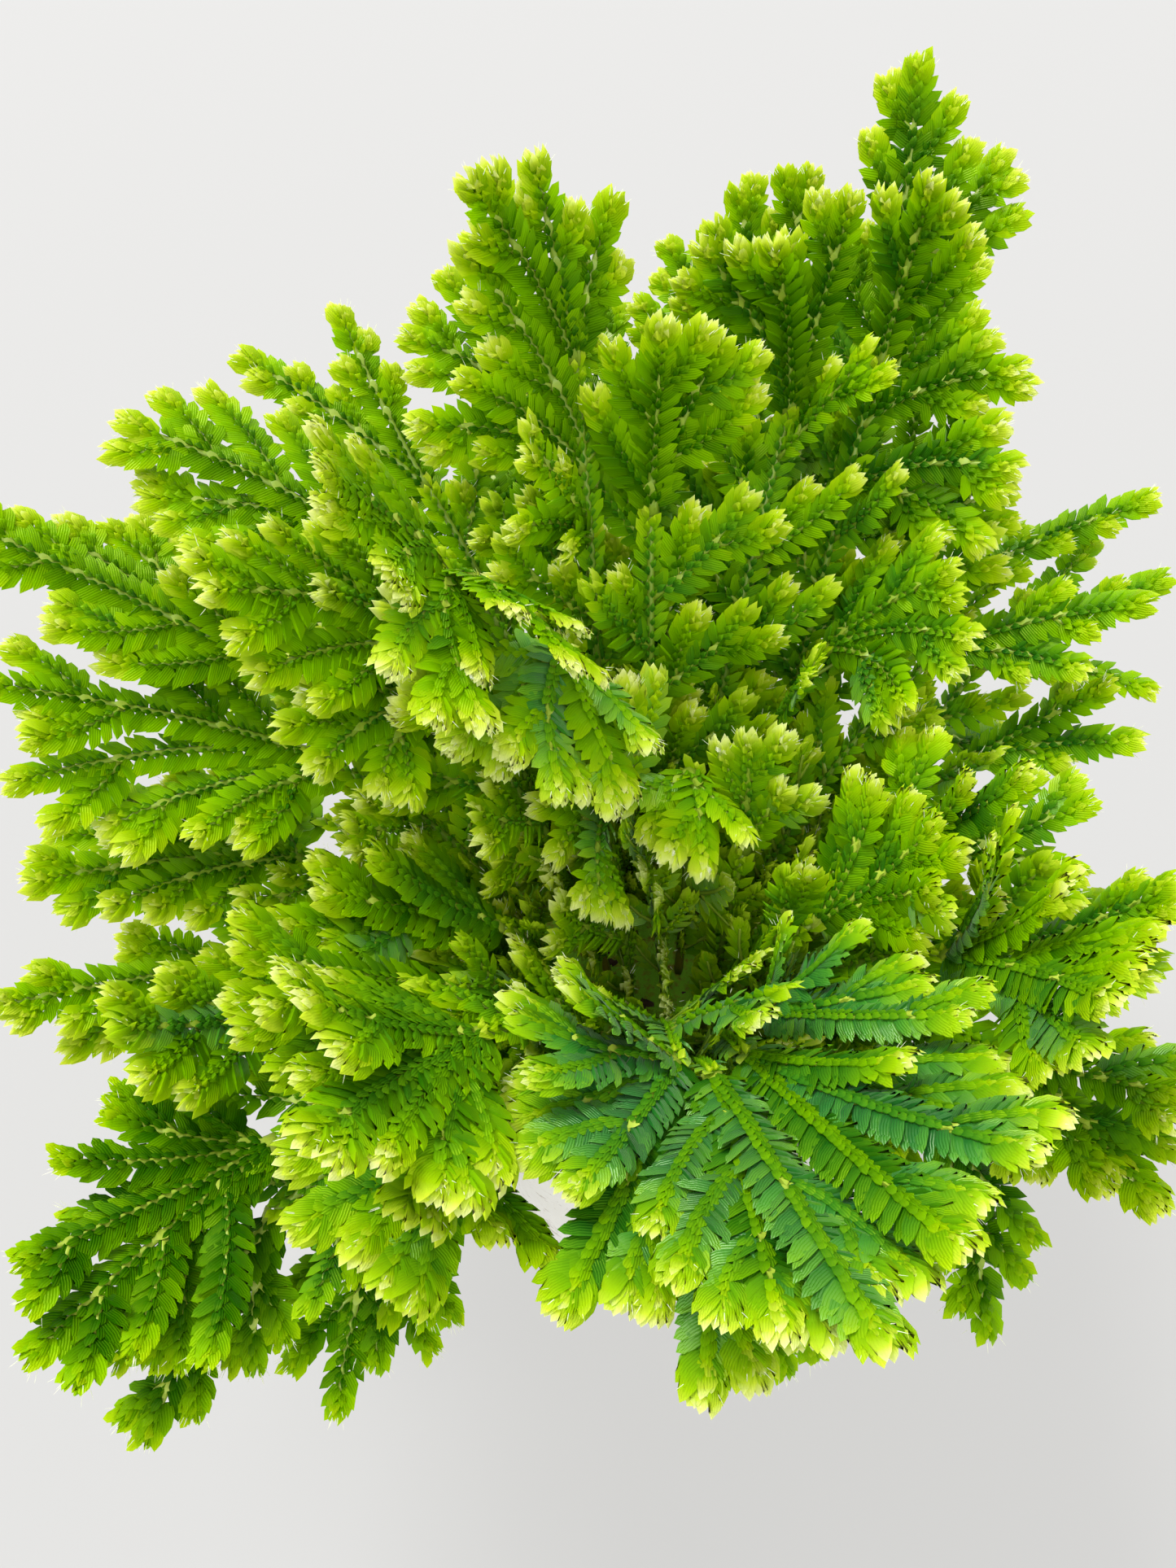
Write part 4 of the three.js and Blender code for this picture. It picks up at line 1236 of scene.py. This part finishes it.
def leaf(name, shine, gloss, rough, thin, satin):
    """Leaf tissue: the colour and strength of its gloss, its roughness, how much light it lets through, and
    how much of a satin bloom its skin has."""
    made, tree, output = new_material(name)
    across = node(tree, "UVMap", uv_map="OFBake")
    split = node(tree, "SeparateXYZ", {"Vector": across.outputs[0]})
    cool = node(tree, "ValToRGB", {"Fac": split.outputs["X"]})
    set_ramp(cool, COOL_LEAF)
    warm = node(tree, "ValToRGB", {"Fac": split.outputs["X"]})
    set_ramp(warm, WARM_LEAF)
    lime = node(tree, "MapRange", {"Value": split.outputs["Y"], "From Min": 0.1, "From Max": 0.6})
    skin = node(
        tree,
        "Mix",
        {0: lime.outputs[0], 6: cool.outputs["Color"], 7: warm.outputs["Color"]},
        data_type="RGBA",
    )
    # old leaves are thicker, and let less light through
    bright = node(tree, "Gamma", {"Color": skin.outputs[2], "Gamma": 0.56})
    depth = node(
        tree,
        "MapRange",
        {"Value": split.outputs["X"], "From Min": 0.05, "From Max": 0.34, "To Min": 0.42, "To Max": 1},
    )
    glow = node(
        tree,
        "Mix",
        {0: 1, 6: bright.outputs[0], 7: depth.outputs[0]},
        data_type="RGBA",
        blend_type="MULTIPLY",
    )
    # what comes through green tissue has less blue in it than what its skin throws back
    green = node(tree, "MapRange", {"Value": split.outputs["X"], "From Min": 0.94, "From Max": 0.64})
    glow = node(
        tree,
        "Mix",
        {0: green.outputs[0], 6: glow.outputs[2], 7: (1, 1, 0.6, 1)},
        data_type="RGBA",
        blend_type="MULTIPLY",
    )
    # fine veins along the leaf, and the slight unevenness of its cells
    own_face = node(tree, "UVMap", uv_map="LeafFace")
    veins = node(
        tree,
        "TexWave",
        {"Vector": own_face.outputs[0], "Scale": 0.9, "Distortion": 0.6, "Detail": 1},
        bands_direction="Y",
    )
    place = node(tree, "TexCoord").outputs["Object"]
    cells = node(tree, "TexNoise", {"Vector": place, "Scale": 1500, "Detail": 1})
    both = node(tree, "Math", {0: veins.outputs["Fac"], 1: cells.outputs["Fac"]}, operation="ADD")
    relief = node(tree, "Bump", {"Height": both.outputs[0], "Strength": 0.7, "Distance": 0.00009})
    surface = node(
        tree,
        "BsdfPrincipled",
        {
            "Base Color": skin.outputs[2],
            "Roughness": rough,
            "IOR": 1.45,
            "Specular IOR Level": gloss,
            "Specular Tint": shine,
            "Sheen Weight": satin,
            "Sheen Roughness": 0.4,
            "Sheen Tint": (0.8, 1, 0.72, 1),
            "Normal": relief.outputs[0],
        },
    )
    through = node(tree, "BsdfTranslucent", {"Color": glow.outputs[2]})
    young = node(
        tree,
        "MapRange",
        {"Value": split.outputs["X"], "From Min": 0.3, "From Max": 0.8, "To Min": thin, "To Max": 0.66},
    )
    blend = node(tree, "MixShader", {0: young.outputs[0], 1: surface.outputs[0], 2: through.outputs[0]})
    tree.links.new(blend.outputs[0], output.inputs["Surface"])
    return made


leaf_skin = leaf("living_leaf", (0.85, 1.0, 0.05, 1), 0.5, 0.3, 0.52, 0)
shade_leaf = leaf("living_shade_leaf", (0.85, 1.0, 0.7, 1), 1.0, 0.34, 0.38, 0.3)

# Living stem: smooth and firm, amber-brown and corky low in the crown, pale yellow-green further out.
STEM_TONES = [
    (0.05, "#4a2c10"), (0.16, "#7c6a1c"), (0.27, "#4a6812"), (0.4, "#66841a"), (0.6, "#96ac2e"),
    (0.8, "#c8d85a"),
]
stem_skin, tree, output = new_material("living_stem")
across = node(tree, "UVMap", uv_map="OFBake")
split = node(tree, "SeparateXYZ", {"Vector": across.outputs[0]})
tint = node(tree, "ValToRGB", {"Fac": split.outputs["X"]})
set_ramp(tint, STEM_TONES)
place = node(tree, "TexCoord").outputs["Object"]
fibre = node(tree, "TexNoise", {"Vector": place, "Scale": 1200, "Detail": 2})
relief = node(tree, "Bump", {"Height": fibre.outputs["Fac"], "Strength": 0.4, "Distance": 0.0001})
surface = node(
    tree,
    "BsdfPrincipled",
    {"Base Color": tint.outputs["Color"], "Roughness": 0.45, "IOR": 1.45, "Normal": relief.outputs[0]},
)
tree.links.new(surface.outputs[0], output.inputs["Surface"])
for piece in pieces:
    piece.data.materials.append(leaf_skin)
    piece.data.materials.append(stem_skin)
    if any(face.material_index == 2 for face in piece.data.polygons):
        piece.data.materials.append(shade_leaf)

# ---- Floor, light and camera
# A pale matt floor that runs out of sight, a big soft light above and behind the plant, a weak one in
# front of it, and even light from all round.

FLOOR_SIZE = 12
floor = add(bpy.ops.mesh.primitive_plane_add, size=FLOOR_SIZE)
bpy.ops.object.mode_set(mode="OBJECT")
floor.name = "floor"
floor_paint, tree, output = new_material("matt_paint")
surface = node(
    tree,
    "BsdfPrincipled",
    {
        "Base Color": linear("#616161"),
        "Roughness": 0.9,
        "Emission Color": linear("#f4f3f1"),
        "Emission Strength": 0.55,
    },
)
tree.links.new(surface.outputs[0], output.inputs["Surface"])
floor.data.materials.append(floor_paint)

world = bpy.data.worlds.new("studio")
bpy.context.scene.world = world
world.use_nodes = True
sky = world.node_tree.nodes["Background"]
sky.inputs["Color"].default_value = linear("#f6f6f4")
sky.inputs["Strength"].default_value = 1.22

# Two wide, even lights, the same strength all over: a strong one from above and behind, as from a large
# window, and a weak one from the front that fills the shadows.
for name, strength, softness, way in (
    ("window", 3.25, 26, (0.4, -0.45, -1)),
    ("fill", 1.15, 30, (0.03, 0.64, -0.77)),
):
    lamp = bpy.data.lights.new(name, "SUN")
    lamp.energy = strength
    lamp.angle = math.radians(softness)
    light = bpy.data.objects.new(name, lamp)
    light.rotation_euler = Vector(way).to_track_quat("-Z", "Y").to_euler()
    bpy.context.scene.collection.objects.link(light)

CAMERA = (-14, -118, 271)
CAMERA_DOWN = 50
FOCAL_PIXELS = 1447
FRAME_WIDTH = 1445
camera = bpy.data.cameras.new("camera")
camera.sensor_fit = "HORIZONTAL"
camera.sensor_width = 36
camera.lens = 36 * FOCAL_PIXELS / FRAME_WIDTH
camera.clip_start = 0.01
camera.clip_end = 30
eye = bpy.data.objects.new("camera", camera)
eye.location = [c * MM for c in CAMERA]
eye.rotation_euler = (math.radians(90 - CAMERA_DOWN), 0, 0)
bpy.context.scene.collection.objects.link(eye)
bpy.context.scene.camera = eye
bpy.context.scene.view_settings.view_transform = "Standard"
